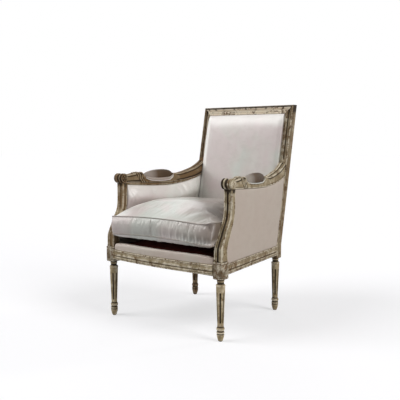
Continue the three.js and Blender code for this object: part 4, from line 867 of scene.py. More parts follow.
jute = material_of("jute_webbing", cloth_group("jute_weave", 0.0022, ("#6f5a3a", "#a08659", "#bfa678"), 0.5), {}, 0.0006, {"Sheen Weight": 0.1})
lining = material_of("black_lining", cloth_group("lining_weave", 0.0007, ("#141312", "#232120", "#2e2b29"), 0.3), {}, 0.0002, {"Sheen Weight": 0.1})


def woven_strap(name, along_axis):
    """Strap through stations over and under the crossings, read from its solid's box: level where it is
    alone, raised or lowered by a smooth wave over each crossing strap."""
    low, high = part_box(name)
    other = 1 - along_axis
    crossings = np.array([-0.092, 0.092] if along_axis == 1 else [-0.139, 0, 0.139])
    centre = (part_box("webbing_crosswise_front")[0].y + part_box("webbing_crosswise_rear")[1].y) / 2 if along_axis == 1 else 0
    middle = (low[other] + high[other]) / 2
    column = int(round(middle / 0.139)) + 1 if along_axis == 1 else (0 if middle < centre_of_rows else 1)
    sense = np.array([(1 if (column + k) % 2 else -1) for k in range(len(crossings))]) * (1 if along_axis == 1 else -1)
    along = np.linspace(low[along_axis] + 0.0005, high[along_axis] - 0.0005, 160)
    lift = sum(s * 0.00085 * bump(along - centre - c, 0.062) ** 0.4 for s, c in zip(sense, crossings))
    half = (high[other] - low[other]) / 2
    width = np.concatenate([np.linspace(-half, half, 15), np.linspace(half, -half, 15)])
    thick = np.concatenate([np.full(15, -0.5), np.full(15, 0.5)]) * STRAP_THICKNESS
    level = (low.z + high.z) / 2
    height = level + lift[:, None] + thick
    places = [None, None, height]
    places[along_axis] = np.broadcast_to(along[:, None], height.shape)
    places[other] = np.broadcast_to(middle + width, height.shape)
    points, faces, relief = joined([(np.stack(places, axis=-1), 0.0, False)])
    strap = put(f"{name}_woven", points, faces, jute)
    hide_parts(name)
    return strap


centre_of_rows = (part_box("webbing_crosswise_front")[0].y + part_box("webbing_crosswise_rear")[1].y) / 2
for place in ("right", "middle", "left"):
    woven_strap(f"webbing_lengthwise_{place}", 1)
for place in ("front", "rear"):
    woven_strap(f"webbing_crosswise_{place}", 0)
dress([f"spring_{row}_{column}" for row in ("front", "rear") for column in ("right", "middle", "left")], steel)


def taut_sheet(name, low_corner, high_corner, thickness, fall, material, slot):
    """Grid of u and v shares from -1 to 1, 61 by 61, for a flat cloth; the name, corners, thickness, fall, material and
    slot it is given are not used.
    """
    u, v = np.meshgrid(np.linspace(-1, 1, 61), np.linspace(-1, 1, 61), indexing="ij")
    return u, v


dust_low, dust_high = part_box("dust_cover")
rim_y = np.array([dust_low.y, front_leg_y + block_depth / 2 + 0.0013, front_leg_y + block_depth / 2 + 0.0013001,
                  stile_foot - 0.0013001, stile_foot - 0.0013, dust_high.y])
dust_side = lambda y: side_line(y) + SIDE_RAIL_PROUD - 0.008
rim_x = np.array([front_rail_half - 0.0013, front_rail_half - 0.0013, dust_side(rim_y[2]), dust_side(rim_y[3]), rear_leg_x - STILE_WIDTH / 2 - 0.0013, rear_leg_x - STILE_WIDTH / 2 - 0.0013])
y = np.unique(np.concatenate([np.linspace(dust_low.y, dust_high.y, 70), rim_y]))
half = np.interp(y, rim_y, rim_x)
width = np.linspace(-1, 1, 41)
sag = 0.0
sheet_x = half[:, None] * width
sheet_y = np.broadcast_to(y[:, None], sheet_x.shape)
inside = (1 - width ** 2)[None, :] * (1 - np.linspace(-1, 1, len(y)) ** 2)[:, None]
bottom = np.stack([sheet_x, sheet_y, dust_low.z - 0.0025 * inside], axis=-1)
top = bottom[:, ::-1] + (0, 0, 0.0006)
dust_rings = np.concatenate([bottom, top], axis=1)
points, faces, relief = joined([(dust_rings, 0.0, False)])
dust = put("dust_cover_cloth", points, faces, lining)
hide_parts("dust_cover")
dust_area = float(np.trapezoid(2 * half, y)) if hasattr(np, "trapezoid") else float(np.trapz(2 * half, y))

low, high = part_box("back_hessian")
backing_half = high.x
u, v = np.meshgrid(np.linspace(-1, 1, 25), np.linspace(0, 1, 31), indexing="ij")
z = low.z + v * (high.z - low.z)
into = float(low.y - stile_front(low.z))
near = np.stack([u * backing_half, stile_front(z) + into + 0.0003, z], axis=-1)
far = near[:, ::-1] + (0, 0.0007, 0)
points, faces, relief = joined([(np.concatenate([near, far], axis=1), 0.0, False)])
hessian = put("back_hessian_cloth", points, faces, jute)
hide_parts("back_hessian")

# Seat deck and front border
# Platform cloth is stuffed over the springs and sewn down to the rails. It is near black: partly its
# own dark cloth, partly painted shade for the gap under the cushion. A roll of stuffing in the show
# fabric finishes its front edge, on the bowed front rail.
SOFT_GAP = 0.0008
BORDER_HEIGHT, BORDER_DEPTH, BORDER_SETBACK = 0.036, 0.025, 0.007
DECK_EDGE, DECK_CROWN, DECK_HOLLOW = 0.015, 0.051, 0.024
deck_floor = rail_top + 0.0003


def block_skin(counts, spread=0.5):
    """Closed quads over the six sides of a block of cells. Gives u, v, w of every point, from -1 to 1
    and drawn together towards the edges by a share of a sine, and the faces, turned outward."""
    strides = np.array([(counts[1] + 1) * (counts[2] + 1), counts[2] + 1, 1])
    keys = []
    for axis in range(3):
        b, c = (axis + 1) % 3, (axis + 2) % 3
        j, k = np.meshgrid(np.arange(counts[b]), np.arange(counts[c]), indexing="ij")
        for end in (0, counts[axis]):
            around = [(0, 0), (1, 0), (1, 1), (0, 1)]
            if end == 0:
                around = around[::-1]
            corner = [end * strides[axis] + (j + dj) * strides[b] + (k + dk) * strides[c] for dj, dk in around]
            keys.append(np.stack(corner, axis=-1).reshape(-1, 4))
    used, faces = np.unique(np.concatenate(keys), return_inverse=True)
    cells = np.stack([used // strides[0], used % strides[0] // strides[1], used % strides[1]], axis=-1)
    even = 2 * cells / np.array(counts) - 1
    place = (1 - spread) * even + spread * np.sin(even * pi / 2)
    return place, faces.reshape(-1, 4)


def satin_group():
    """Silvery satin: wide soft patches from grey-green through silver to pink, mixed to beige by its
    warmth and to taupe by its shade, thin level slubs, low waves where the stuffing gives, and a
    fine weave of two sets of threads. Shade above 1 goes on towards black as painted shade, and
    shade below 0 towards pale cream as a painted highlight."""
    group, source, target = new_group("silver_satin", {"Patches": 1.0, "Warmth": 0.1, "Shade": 0.0}, ("Color", "Roughness", "Height"))
    patches, warmth, shade = (source.outputs[k] for k in range(3))
    where = add(group, "TexCoord", {}).outputs["Object"]
    patch = noise(group, where, 5.0, 2.5, 0.5, 0.8)
    spread = maths(group, "ADD", 0.5, maths(group, "MULTIPLY", maths(group, "SUBTRACT", patch, 0.5), patches))
    tone = ramp(group, spread, (0.36, "#cad0c9"), (0.49, "#d0cbc6"), (0.62, "#d2c6c5"))
    streaks = noise(group, stretched(group, where, (15, 15, 1.6)), 1.0, 2, 0.5)
    tone = mixed(group, maths(group, "MULTIPLY", step_up(group, streaks, 0.42, 0.78), 0.3), tone, "#dde1db")
    cloud = noise(group, stretched(group, where, (22, 22, 30)), 1.0, 3, 0.6)
    tone = mixed(group, maths(group, "MULTIPLY", step_up(group, cloud, 0.42, 0.72), 0.22), tone, "#b0a6a0")
    tone = mixed(group, warmth, tone, "#b39e88")
    tone = mixed(group, shade, tone, "#5c4b3b")
    # Painted shade beyond a shade of 1, towards black; painted highlight below 0, towards pale cream.
    tone = mixed(group, maths(group, "MAXIMUM", maths(group, "SUBTRACT", shade, 1.0), 0.0), tone, "#1e1611")
    tone = mixed(group, maths(group, "MAXIMUM", maths(group, "MULTIPLY", shade, -1.0), 0.0), tone, "#f6f5f0")
    slubs = noise(group, stretched(group, where, (28, 28, 420)), 1.0, 2, 0.6)
    tone = mixed(group, maths(group, "MULTIPLY", step_up(group, slubs, 0.6, 0.8), 0.2), tone, "#9d9089")
    waves = [add(group, "TexWave", {"Vector": where, "Scale": 330.0, "Distortion": 0.4, "Detail": 1.0}, bands_direction=axis).outputs[1] for axis in "XYZ"]
    weave = maths(group, "ADD", maths(group, "ADD", waves[0], waves[1]), waves[2])
    waves_low = maths(group, "MULTIPLY", noise(group, stretched(group, where, (9, 9, 7)), 1.0, 1.5, 0.5, 0.6), 9.0)
    waves_high = maths(group, "MULTIPLY", noise(group, where, 30, 2, 0.5), 1.6)
    height = maths(group, "ADD", maths(group, "MULTIPLY", weave, 0.12), maths(group, "MULTIPLY", slubs, 0.6))
    height = maths(group, "ADD", height, maths(group, "ADD", waves_low, waves_high))
    rough = maths(group, "ADD", 0.22, maths(group, "MULTIPLY", cloud, 0.2))
    for name, value in (("Color", tone), ("Roughness", rough), ("Height", height)):
        group.links.new(value, target.inputs[name])
    return group


satin_weave = satin_group()
SATIN_SHINE = {"Specular IOR Level": 1.0}
satin = material_of("silver_satin", satin_weave, {}, 0.0002, SATIN_SHINE)
outer_satin = material_of("beige_satin", satin_weave, {"Patches": 0.2, "Warmth": 0.62, "Shade": 0.04}, 0.0002, {"Specular IOR Level": 0.4, "Sheen Weight": 0.1})
border_satin = material_of("border_satin", satin_weave, {"Patches": 0.5, "Warmth": 0.55, "Shade": 0.08}, 0.0002, {"Specular IOR Level": 0.5, "Sheen Weight": 0.1})
cushion_satin = material_of("cushion_satin", satin_weave, {"Shade": "tone_and_painted_light"}, 0.0002, SATIN_SHINE)
# Arm pad satin, its darkness from the attribute: a taupe tone, with painted shade towards the rear.
pad_satin = material_of("dark_pad_satin_painted_shade", satin_weave, {"Patches": 0.6, "Warmth": 0.25, "Shade": "tone_and_painted_light"}, 0.0002, {"Specular IOR Level": 0.08})
skirt_satin = material_of("skirt_satin", satin_weave, {"Patches": 0.6, "Warmth": 0.4, "Shade": 0.35}, 0.0002, {"Specular IOR Level": 0.4})
# Darker satin for the welts and the boxing seam: painted shadow standing for the dark line along the seams.
seam_satin_painted_shadow = material_of("seam_satin_painted_shadow", satin_weave, {"Warmth": 0.2, "Shade": 0.55}, 0.0002, {"Specular IOR Level": 0.4})
# Near black, partly the cloth's own colour and partly painted shade for the gap under the cushion.
platform = material_of("platform_cloth", cloth_group("platform_weave", 0.0011, ("#2e0f0b", "#441a14", "#56271c"), 0.4), {}, 0.0003, {"Specular IOR Level": 0.1})


def settle(piece, held, pressure, slack, cap, frames=16):
    """Stuffs a closed piece by cloth simulation: air pressure inside, cloth cut larger by its slack, and
    the held points fixed. A point then keeps its way but moves at most the cap: cap x tanh(way / cap)."""
    mesh = piece.data
    start = np.empty(len(mesh.vertices) * 3)
    mesh.vertices.foreach_get("co", start)
    start = start.reshape(-1, 3)
    pins = piece.vertex_groups.new(name="held")
    pins.add(np.flatnonzero(held).tolist(), 1.0, "REPLACE")
    cloth = piece.modifiers.new("stuffing", "CLOTH")
    settings = cloth.settings
    settings.quality = 4
    settings.mass = 0.25
    settings.tension_stiffness = 12
    settings.compression_stiffness = 12
    settings.shear_stiffness = 4
    settings.bending_stiffness = 0.12
    settings.use_pressure = True
    settings.uniform_pressure_force = pressure
    settings.shrink_min = -slack
    settings.vertex_group_mass = "held"
    settings.effector_weights.gravity = 0
    cloth.collision_settings.use_collision = False
    cloth.point_cache.frame_start = 1
    cloth.point_cache.frame_end = frames
    scene = bpy.context.scene
    for number in range(1, frames + 1):
        scene.frame_set(number)
    graph = bpy.context.evaluated_depsgraph_get()
    shape = piece.evaluated_get(graph).to_mesh()
    end = np.empty(len(mesh.vertices) * 3)
    shape.vertices.foreach_get("co", end)
    piece.evaluated_get(graph).to_mesh_clear()
    piece.modifiers.remove(cloth)
    piece.vertex_groups.remove(pins)
    scene.frame_set(1)
    move = end.reshape(-1, 3) - start
    way = np.linalg.norm(move, axis=1, keepdims=True) + 1e-9
    mesh.vertices.foreach_set("co", (start + move / way * cap * np.tanh(way / cap)).ravel())
    mesh.update()


def rounded(piece, levels=1):
    """One smooth subdivision of a stuffed piece."""
    finer = piece.modifiers.new("rounding", "SUBSURF")
    finer.levels = levels
    finer.render_levels = levels


deck_rear = stile_foot - SOFT_GAP
deck_half = front_rail_half - 0.002
place, faces = block_skin((48, 48, 3))
u, v, w = place.T
deck_front = front_rail_face(u * deck_half) + BORDER_SETBACK + BORDER_DEPTH + SOFT_GAP
y = deck_front + (deck_rear - deck_front) * (v + 1) / 2
half = np.minimum(deck_half, side_line(y) + SIDE_RAIL_PROUD - RAIL_THICKNESS + 0.012)
crown = DECK_EDGE + DECK_CROWN * (1 - np.abs(u) ** 3) * (1 - np.abs(v) ** 3)
inside = (np.maximum(np.abs(u), np.abs(v)) < 0.93) * DECK_HOLLOW
round_edge = 0.003 * np.maximum(np.abs(u), np.abs(v)) ** 30 * (w > 0.9)
height = deck_floor + np.where(w > 0.9, crown - round_edge, inside + (crown - inside) * (w + 1) / 2)
deck = put("seat_deck_cloth", np.column_stack([u * half, y, height]), faces.tolist(), platform, sharp=180)
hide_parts("seat_deck")
rounded(deck)

BORDER_ROUND = ((0, 0.1), (0.03, 0.45), (0.1, 0.76), (0.22, 0.92), (0.4, 0.99), (0.6, 1), (0.8, 0.95), (0.93, 0.8), (1, 0.55))
place, faces = block_skin((120, 10, 8), 0.4)
u, v, w = place.T
border_half = front_rail_half - SOFT_GAP
size = 0.6 + 0.4 * np.sqrt(np.clip(1 - np.abs(u) ** 9, 0, 1))
middle = front_rail_face(u * border_half) + BORDER_SETBACK + BORDER_DEPTH / 2
into = (v + 1) / 2
bulge = np.sin(pi * (w + 1) / 2) * 0.0018 * v
y = middle + (into - 0.5) * BORDER_DEPTH * size + bulge
crown = np.interp(into, *np.array(BORDER_ROUND).T)
height = deck_floor + BORDER_HEIGHT * size * crown * (w + 1) / 2
border = put("front_border_roll", np.column_stack([u * border_half, y, height]), faces.tolist(), border_satin, sharp=180)
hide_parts("front_border")
settle(border, (w < -0.8) | (v > 0.9), 2.5, 0.02, 0.003)
rounded(border)

# Back pad
# The inside back is a stuffed square pad set in the frame's opening, covered in satin drawn tight
# over a rounded edge, with a piping cord laid in the joint all round.
BACK_PAD_PROUD, BACK_PAD_THICKNESS, BACK_PAD_OVER = 0.027, 0.006, 0.0055
back_pad_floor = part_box("back_pad")[0].z
back_pad_top = BACK_TOP - CREST_HEIGHT - MITRE_GAP
back_half = rear_leg_x - STILE_WIDTH / 2 - MITRE_GAP


def plump(u, v, power, upright=None):
    """Level middle and rounded edge of a stuffed face: root of (1 - u^p)(1 - v^q), q as p if not given."""
    return np.sqrt(np.clip((1 - np.abs(u) ** power) * (1 - np.abs(v) ** (upright or power)), 0, 1))


def tube(centres, out, up, radius, sides=10):
    """Cord round a closed path: at each centre a circle in the plane of its out and up directions."""
    turn = (np.arange(sides) * 2 * pi / sides)[None, :, None]
    return centres[:, None] + radius * (np.cos(turn) * out[:, None] + np.sin(turn) * up[:, None])


def loop_frame(centres, facing):
    """Out and up directions of a closed path on a surface whose facing is given at each point."""
    along = np.roll(centres, -1, axis=0) - np.roll(centres, 1, axis=0)
    along /= np.linalg.norm(along, axis=1, keepdims=True)
    out = np.cross(along, facing)
    out /= np.linalg.norm(out, axis=1, keepdims=True)
    return out, np.cross(out, along)


def rounded_loop(half_u, half_v, corner, count=60):
    """Points round a rectangle with quarter-round corners, even along each side."""
    turn = np.linspace(0, pi / 2, 9)
    parts = []
    signs = ((1, 1), (-1, 1), (-1, -1), (1, -1))
    for k, (su, sv) in enumerate(signs):
        centre = np.array([su * (half_u - corner), sv * (half_v - corner)])
        arc = centre + corner * np.stack([np.cos(turn + k * pi / 2), np.sin(turn + k * pi / 2)], axis=-1)
        following = signs[(k + 1) % 4]
        target = np.array([following[0] * (half_u - corner), following[1] * (half_v - corner)])
        target = target + corner * np.array([np.cos((k + 1) * pi / 2), np.sin((k + 1) * pi / 2)])
        run = arc[-1] + np.linspace(0, 1, count + 2)[1:-1, None] * (target - arc[-1])
        parts += [arc, run]
    return np.concatenate(parts)


def mark_tone_and_painted_light(piece, share):
    """Attribute that tells the satin how dark or pale each point is: 0 plain, 1 taupe, 2 black, and
    pale below 0. Mostly it is painted shade above 0 and a painted highlight below 0; on the arm pads
    it also gives their darker taupe."""
    piece.data.attributes.new("tone_and_painted_light", "FLOAT", "POINT").data.foreach_set("value", share.astype(np.float32))


def eased(value):
    """Smooth step of whole arrays from 0 to 1: t^2 (3 - 2t) with t held between them."""
    held = np.clip(value, 0, 1)
    return held * held * (3 - 2 * held)


place, faces = block_skin((92, 92, 3), 0.74)
u, v, w = place.T
z = back_pad_floor + (back_pad_top - back_pad_floor) * (v + 1) / 2
full = plump(u, v, 30, 6.5)
into = BACK_PAD_THICKNESS + (-BACK_PAD_PROUD * full - BACK_PAD_THICKNESS) * (w + 1) / 2
over = BACK_PAD_OVER * np.sin(pi * np.clip(full, 0, 1)) ** 0.7 * np.abs(u) ** 30 * np.sign(u) * (w > 0.9)
back_pad = put("back_pad_stuffed", np.column_stack([u * back_half + over, stile_front(z) + into, z]), faces[:, ::-1].tolist(), cushion_satin, sharp=180)
# Painted light on the back pad: a painted highlight along the top band, its lower edge wavy, and down the edge at
# negative x; slight painted shade towards positive x.
wavy = 0.02 * np.sin(4 * u + 1) + 0.008 * np.sin(11 * u)
painted_highlight = np.maximum(0.45 * eased((v - 0.78 - wavy) / 0.12), 0.8 * eased((-u - 0.88) / 0.07))
mark_tone_and_painted_light(back_pad, 0.05 * eased(0.5 + u) - painted_highlight)
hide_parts("back_pad")
settle(back_pad, (w < 0.9) | (np.abs(u) > 0.985) | (np.abs(v) > 0.99), 3.0, 0.010, 0.005)
rounded(back_pad)

PIPING = 0.0021
pipe = rounded_loop(back_half - PIPING - 0.0004, (back_pad_top - back_pad_floor) / 2 - PIPING - 0.0004, 0.006)
pipe_z = (back_pad_top + back_pad_floor) / 2 + pipe[:, 1]
centres = np.column_stack([pipe[:, 0], stile_front(pipe_z) - 0.0012, pipe_z])
facing = np.tile([0, -1, -RAKE], (len(centres), 1)) / (1 + RAKE ** 2) ** 0.5
out, up = loop_frame(centres, facing)
points, faces, relief = joined([(tube(centres, out, up, PIPING), 0.0, True)])
back_piping = put("back_pad_piping", points, faces, satin)

# Outside covers
# The outside back and the two outside arm panels are satin over a thin layer of wadding, drawn
# flat and tacked to the back of the frame, the rails and the undersides of the arms.
OUTSIDE_BACK_THICKNESS, OUTSIDE_BACK_PUFF = 0.005, 0.003
place, faces = block_skin((40, 52, 2), 0.5)
u, v, w = place.T
z = RAKE_START + (back_pad_top - RAKE_START) * (v + 1) / 2
near, far = STILE_DEPTH - OUTSIDE_BACK_THICKNESS, STILE_DEPTH - 0.001 + OUTSIDE_BACK_PUFF * plump(u, v, 4)
cover = np.column_stack([u * back_half, stile_front(z) + near + (far - near) * (w + 1) / 2, z])
outside_back = put("back_outside_panel", cover, faces.tolist(), outer_satin, sharp=180)
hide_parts("back_outside_cover")

SIDE_PAD_SEAT, SIDE_PAD_PUFF, SIDE_PANEL_INSET, SIDE_PANEL_THICKNESS, SIDE_PANEL_PUFF = 0.006, 0.013, 0.008, 0.008, 0.003
side_pad_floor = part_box("side_pad_left")[0].z


def side_patch(u, v, floor, ceiling, front_gap, rear_gap):
    """Place on a side from the support to the stile and from its floor up to the arm: y runs between
    the two posts at its height, z up to the ceiling at its y, found by a few passes."""
    z = floor + (ARM_UNDERSIDE - floor) * (v + 1) / 2
    for _ in range(7):
        front, rear = support_rear(z) + front_gap, stile_front(z) - rear_gap
        y = front + (rear - front) * (u + 1) / 2
        z = floor + (ceiling(y) - SOFT_GAP - 0.0003 - floor) * (v + 1) / 2
    return y, z


def side_wall(out, y, z):
    """Side that leans out from the rail to the arm, out measured from its middle."""
    lean = np.clip((z - rail_top) / (ARM_UNDERSIDE - rail_top), 0, 1)
    return side_line(y) + (arm_line(y) - side_line(y)) * lean + out


place, faces = block_skin((60, 44, 2), 0.5)
u, v, w = place.T
y, z = side_patch(u, v, deck_floor, arm_underside, 3 * SOFT_GAP, SOFT_GAP)
show = SIDE_PANEL_INSET + SIDE_PANEL_THICKNESS + SIDE_PANEL_PUFF * plump(u, v, 4)
out = SIDE_PANEL_INSET + (show - SIDE_PANEL_INSET) * (w + 1) / 2
for side, hand in ((1, "left"), (-1, "right")):
    points = np.column_stack([side * side_wall(out, y, z), y, z])
    turned = faces if side > 0 else faces[:, ::-1]
    panel = put(f"side_panel_{hand}", points, turned.tolist(), outer_satin, sharp=180)
    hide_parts(f"side_cover_{hand}")

# Inside side pads
# The inside of each arm is a stuffed pad, fuller than the outside, that runs from below the
# cushion up to the bead under the arm, pinched where it meets the posts.


CREASES = ((0.16, 0.8), (0.42, 1.0), (0.72, 0.8), (1.05, 1.0))
place, faces = block_skin((104, 60, 3), 0.55)
u, v, w = place.T
y, z = side_patch(u, v, side_pad_floor, bead_underside, 0.005, 0.0035)
power = np.where(u > 0, 14, 4)
full = SIDE_PAD_PUFF * plump(u, v, power, 4) + 0.012 * bump(v - 0.54, 0.42) * plump(u, 0, 6)
along, below = (u + 1) * 0.26, (1 - v) * 0.13
spoke = np.arctan2(below, along + 1e-6)
from_corner = np.hypot(along, below)
fan = sum(size * bump(spoke - at, 0.15) for at, size in CREASES)
full += 0.0022 * (fan - 0.4) * np.clip(from_corner / 0.03, 0, 1) * np.exp(-from_corner / 0.075)
show = -ARM_WIDTH / 2 - full + SIDE_PAD_SEAT
out = -SIDE_PAD_SEAT + (show + SIDE_PAD_SEAT) * (w + 1) / 2
x = side_wall(out, y, z)
near_back = np.clip((y - stile_front(z) + 0.050) / 0.018, 0, 1)
x += np.maximum(0, back_half + 0.0062 - x) * near_back * near_back * (3 - 2 * near_back)
pad_points = np.column_stack([x, y, z])
side_pads = []
for side, hand in ((1, "left"), (-1, "right")):
    turned = faces[:, ::-1] if side > 0 else faces
    pad = put(f"side_pad_stuffed_{hand}", pad_points * (side, 1, 1), turned.tolist(), cushion_satin, sharp=180)
    # Painted light on the side pads: painted shade over the lower part and a painted highlight along the top, the line
    # between them waving along the pad.
    height = v + 0.05 * np.sin(5 * u + 0.5)
    mark_tone_and_painted_light(pad, 0.42 * (1 - eased((height - 0.2) / 0.45)) - 0.45 * eased((height - 0.42) / 0.3))
    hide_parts(f"side_pad_{hand}")
    side_pads.append(pad)
settle(side_pads[0], (w < 0.9) | (np.abs(u) > 0.985) | (np.abs(v) > 0.985), 3.0, 0.008, 0.004)
settled = np.empty(len(pad_points) * 3)
side_pads[0].data.vertices.foreach_get("co", settled)
side_pads[1].data.vertices.foreach_set("co", (settled.reshape(-1, 3) * (-1, 1, 1)).ravel())
side_pads[1].data.update()
for pad in side_pads:
    rounded(pad)

# Arm pads
# An oval pad is let into the dip of each arm. Its cover is drawn down to the wood, and a cord in
# the same satin hides the edge.
ARM_PAD_START, ARM_PAD_LENGTH, ARM_PAD_WIDTH, ARM_PAD_CROWN = 0.133, 0.187, 0.040, 0.0268
pad_front, pad_rear = scroll_y + ARM_PAD_START, scroll_y + ARM_PAD_START + ARM_PAD_LENGTH
brim_front, brim_rear = (float(arm_top(np.array([y]))[0]) for y in (pad_front, pad_rear))


def arm_pad_place(u, v, w):
    """Boat-shaped pad: its floor lies on the arm, its crown stands over the line between the wood at
    its two ends by a rounded rise, and its plan narrows to blunt ends."""
    y = pad_front + (pad_rear - pad_front) * (v + 1) / 2
    floor = arm_top(y) + SOFT_GAP
    brim = brim_front + (brim_rear - brim_front) * (v + 1) / 2
    crown = np.maximum(floor + SOFT_GAP, brim + ARM_PAD_CROWN * plump(u, v, 2.3))
    blunt = np.where(u < 0, 3.6, 2.6)
    wide = np.where(u < 0, ARM_WIDTH / 2 + 0.0012, ARM_PAD_WIDTH / 2)
    half = (0.3 + 0.7 * np.sqrt(np.clip(1 - np.abs(v) ** blunt, 0, 1))) * wide
    swell = 1 + 0.05 * np.sin(pi * (w + 1) / 2)
    return np.column_stack([arm_line(y) + u * half * swell, y, floor + (crown - floor) * (w + 1) / 2])


place, faces = block_skin((20, 60, 6), 0.5)
u, v, w = place.T
pad_points = arm_pad_place(u, v, w)
arm_pads = []
for side, hand in ((1, "left"), (-1, "right")):
    turned = faces if side > 0 else faces[:, ::-1]
    pad = put(f"arm_pad_stuffed_{hand}", pad_points * (side, 1, 1), turned.tolist(), pad_satin, sharp=180)
    # Taupe at the front, then painted shade growing towards the rear, past taupe towards black.
    mark_tone_and_painted_light(pad, 0.58 + 0.45 * eased((v + 0.75) / 0.8) + 0.25 * eased((v + 0.3) / 0.7))
    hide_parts(f"arm_pad_{hand}")
    arm_pads.append(pad)
settle(arm_pads[0], w < -0.6, 3.0, 0.01, 0.002)
settled = np.empty(len(pad_points) * 3)
arm_pads[0].data.vertices.foreach_get("co", settled)
arm_pads[1].data.vertices.foreach_set("co", (settled.reshape(-1, 3) * (-1, 1, 1)).ravel())
arm_pads[1].data.update()
for pad in arm_pads:
    rounded(pad)
SKIRT_DROP, SKIRT_BULGE = 0.0105, 0.0024


def skirt_drop(v):
    """How far the pad's border hangs down the arm's inner side: nothing at its two ends."""
    return SKIRT_DROP * (1 - np.abs(v) ** 5)


v = np.linspace(-0.985, 0.985, 90)
y = pad_front + (pad_rear - pad_front) * (v + 1) / 2
turn = np.linspace(0, pi, 9)
bulge = np.concatenate([np.sin(turn), [-0.12, -0.12]]) * SKIRT_BULGE
fall = np.concatenate([0.5 - 0.5 * np.cos(turn), [0.9, 0.1]])
skirt_top = arm_top(y)[:, None] + 0.003
skirt_z = skirt_top - (skirt_drop(v)[:, None] + 0.003) * fall
skirt_x = arm_line(y)[:, None] - ARM_WIDTH / 2 - 0.0006 - bulge
skirt = np.stack([skirt_x, np.broadcast_to(y[:, None], skirt_z.shape), skirt_z], axis=-1)
for side, hand in ((1, "left"), (-1, "right")):
    points, faces, relief = joined([(skirt * (side, 1, 1), 0.0, False)])
    border = put(f"arm_pad_border_{hand}", points, faces, skirt_satin)
edge = rounded_loop(1.0, 1.0, 0.12, 50)
rim = arm_pad_place(edge[:, 0], edge[:, 1], np.full(len(edge), -0.97))
out, up = loop_frame(rim, np.tile([0.0, 0.0, 1.0], (len(rim), 1)))
rim = rim + out * 0.0016 + (0, 0, -0.0026)
inner = np.clip((-edge[:, 0] - 0.8) / 0.15, 0, 1)
rim[:, 2] -= inner * skirt_drop(edge[:, 1])
rim[:, 0] += inner * (arm_line(rim[:, 1]) - ARM_WIDTH / 2 - 0.0024 - rim[:, 0]) * np.clip((1 - np.abs(edge[:, 1])) / 0.1, 0, 1)
for side, hand in ((1, "left"), (-1, "right")):
    points, faces, relief = joined([(tube(rim, out, up, 0.0023) * (side, 1, 1), 0.0, True)])
    put(f"arm_pad_piping_{hand}", points, faces, satin)

# Loose seat cushion
# A feather cushion boxed between two piped seams lies loose on the deck. It is crowned, soft
# at its edges, and its boxing is gathered towards the sitter's left; it lifts out forwards.
CUSHION_BOXING, BOXING_TAPER, SEAM_RISE, WELT_LIFT, CUSHION_CROWN, CUSHION_BULGE = 0.088, 0.0065, 0.0095, 0.0115, 0.064, 0.005
CUSHION_PAINTED_SHADE = 0.74
CORNER_TURN_UP, GATHER_FLARE = 0.013, 0.011
CUSHION_OVERHANG, CUSHION_SIDE_GAP, CUSHION_BACK_GAP, SEAM_TILT = 0.0115, 0.001, 0.004, 0.003
WELT_RADIUS = 0.0024
cushion_underside = deck_floor + DECK_EDGE + DECK_CROWN + 0.0003
cushion_front = front_leg_y - block_depth / 2 - CUSHION_OVERHANG
cushion_rear = float(stile_front(cushion_underside)) - BACK_PAD_PROUD - CUSHION_BACK_GAP


def cushion_half(y):
    """Half width between the supports in front and between the side pads behind them."""
    entry_from = float(support_rear(np.array([ARM_UNDERSIDE]))[0])
    t = np.clip((y - entry_from + 2 * SIDE_PAD_PUFF) / (3 * SIDE_PAD_PUFF), 0, 1)
    level = np.full(np.shape(y), cushion_underside)
    pads = side_wall(-ARM_WIDTH / 2, y, level) - (SIDE_PAD_PUFF - SIDE_PAD_SEAT) * t * t * (3 - 2 * t)
    return np.minimum(front_leg_x - SUPPORT_WIDTH / 2, pads) - CUSHION_SIDE_GAP


def seam_heights(u, v):
    """Heights of the two seams: along the front both rise to a low arch a little right of the middle,
    and towards the back they come down to the thickness of the boxing above the deck."""
    front = np.clip((1 - v) / 2, 0, 1)
    arch = WELT_LIFT * np.clip(1 - (u + 0.08) ** 2, 0, 1)
    lower = cushion_underside + (SEAM_RISE + arch + SEAM_TILT * u) * front
    turned = np.clip((u - 0.7) / 0.3, 0, 1) ** 2 * front ** 2
    return lower, lower + CUSHION_BOXING - BOXING_TAPER * front + CORNER_TURN_UP * turned


def cushion_place(u, v, z, grow):
    """Point of the cushion over its plan, moved out of the plan by a length. Plan shares are drawn in
    to a rounded rectangle: scaled by max(u, v) over the 54th root of u^54 + v^54."""
    most = np.maximum(np.abs(u), np.abs(v))
    corner = np.where(most > 1e-6, most / (np.abs(u) ** 54 + np.abs(v) ** 54 + 1e-30) ** (1 / 54), 1)
    pu, pv = u * corner, v * corner
    _, upper = seam_heights(u, v)
    lean = np.maximum(0, pv) * (np.minimum(z, upper) - cushion_underside) * RAKE
    y = cushion_front + (cushion_rear - cushion_front) * (pv + 1) / 2 + lean
    x = pu * cushion_half(y)
    out = np.column_stack([np.abs(pu) ** 18 * np.sign(pu), np.abs(pv) ** 18 * np.sign(pv)])
    out /= np.maximum(1e-9, np.linalg.norm(out, axis=1, keepdims=True))
    return np.column_stack([x + out[:, 0] * grow, y + out[:, 1] * grow, z])


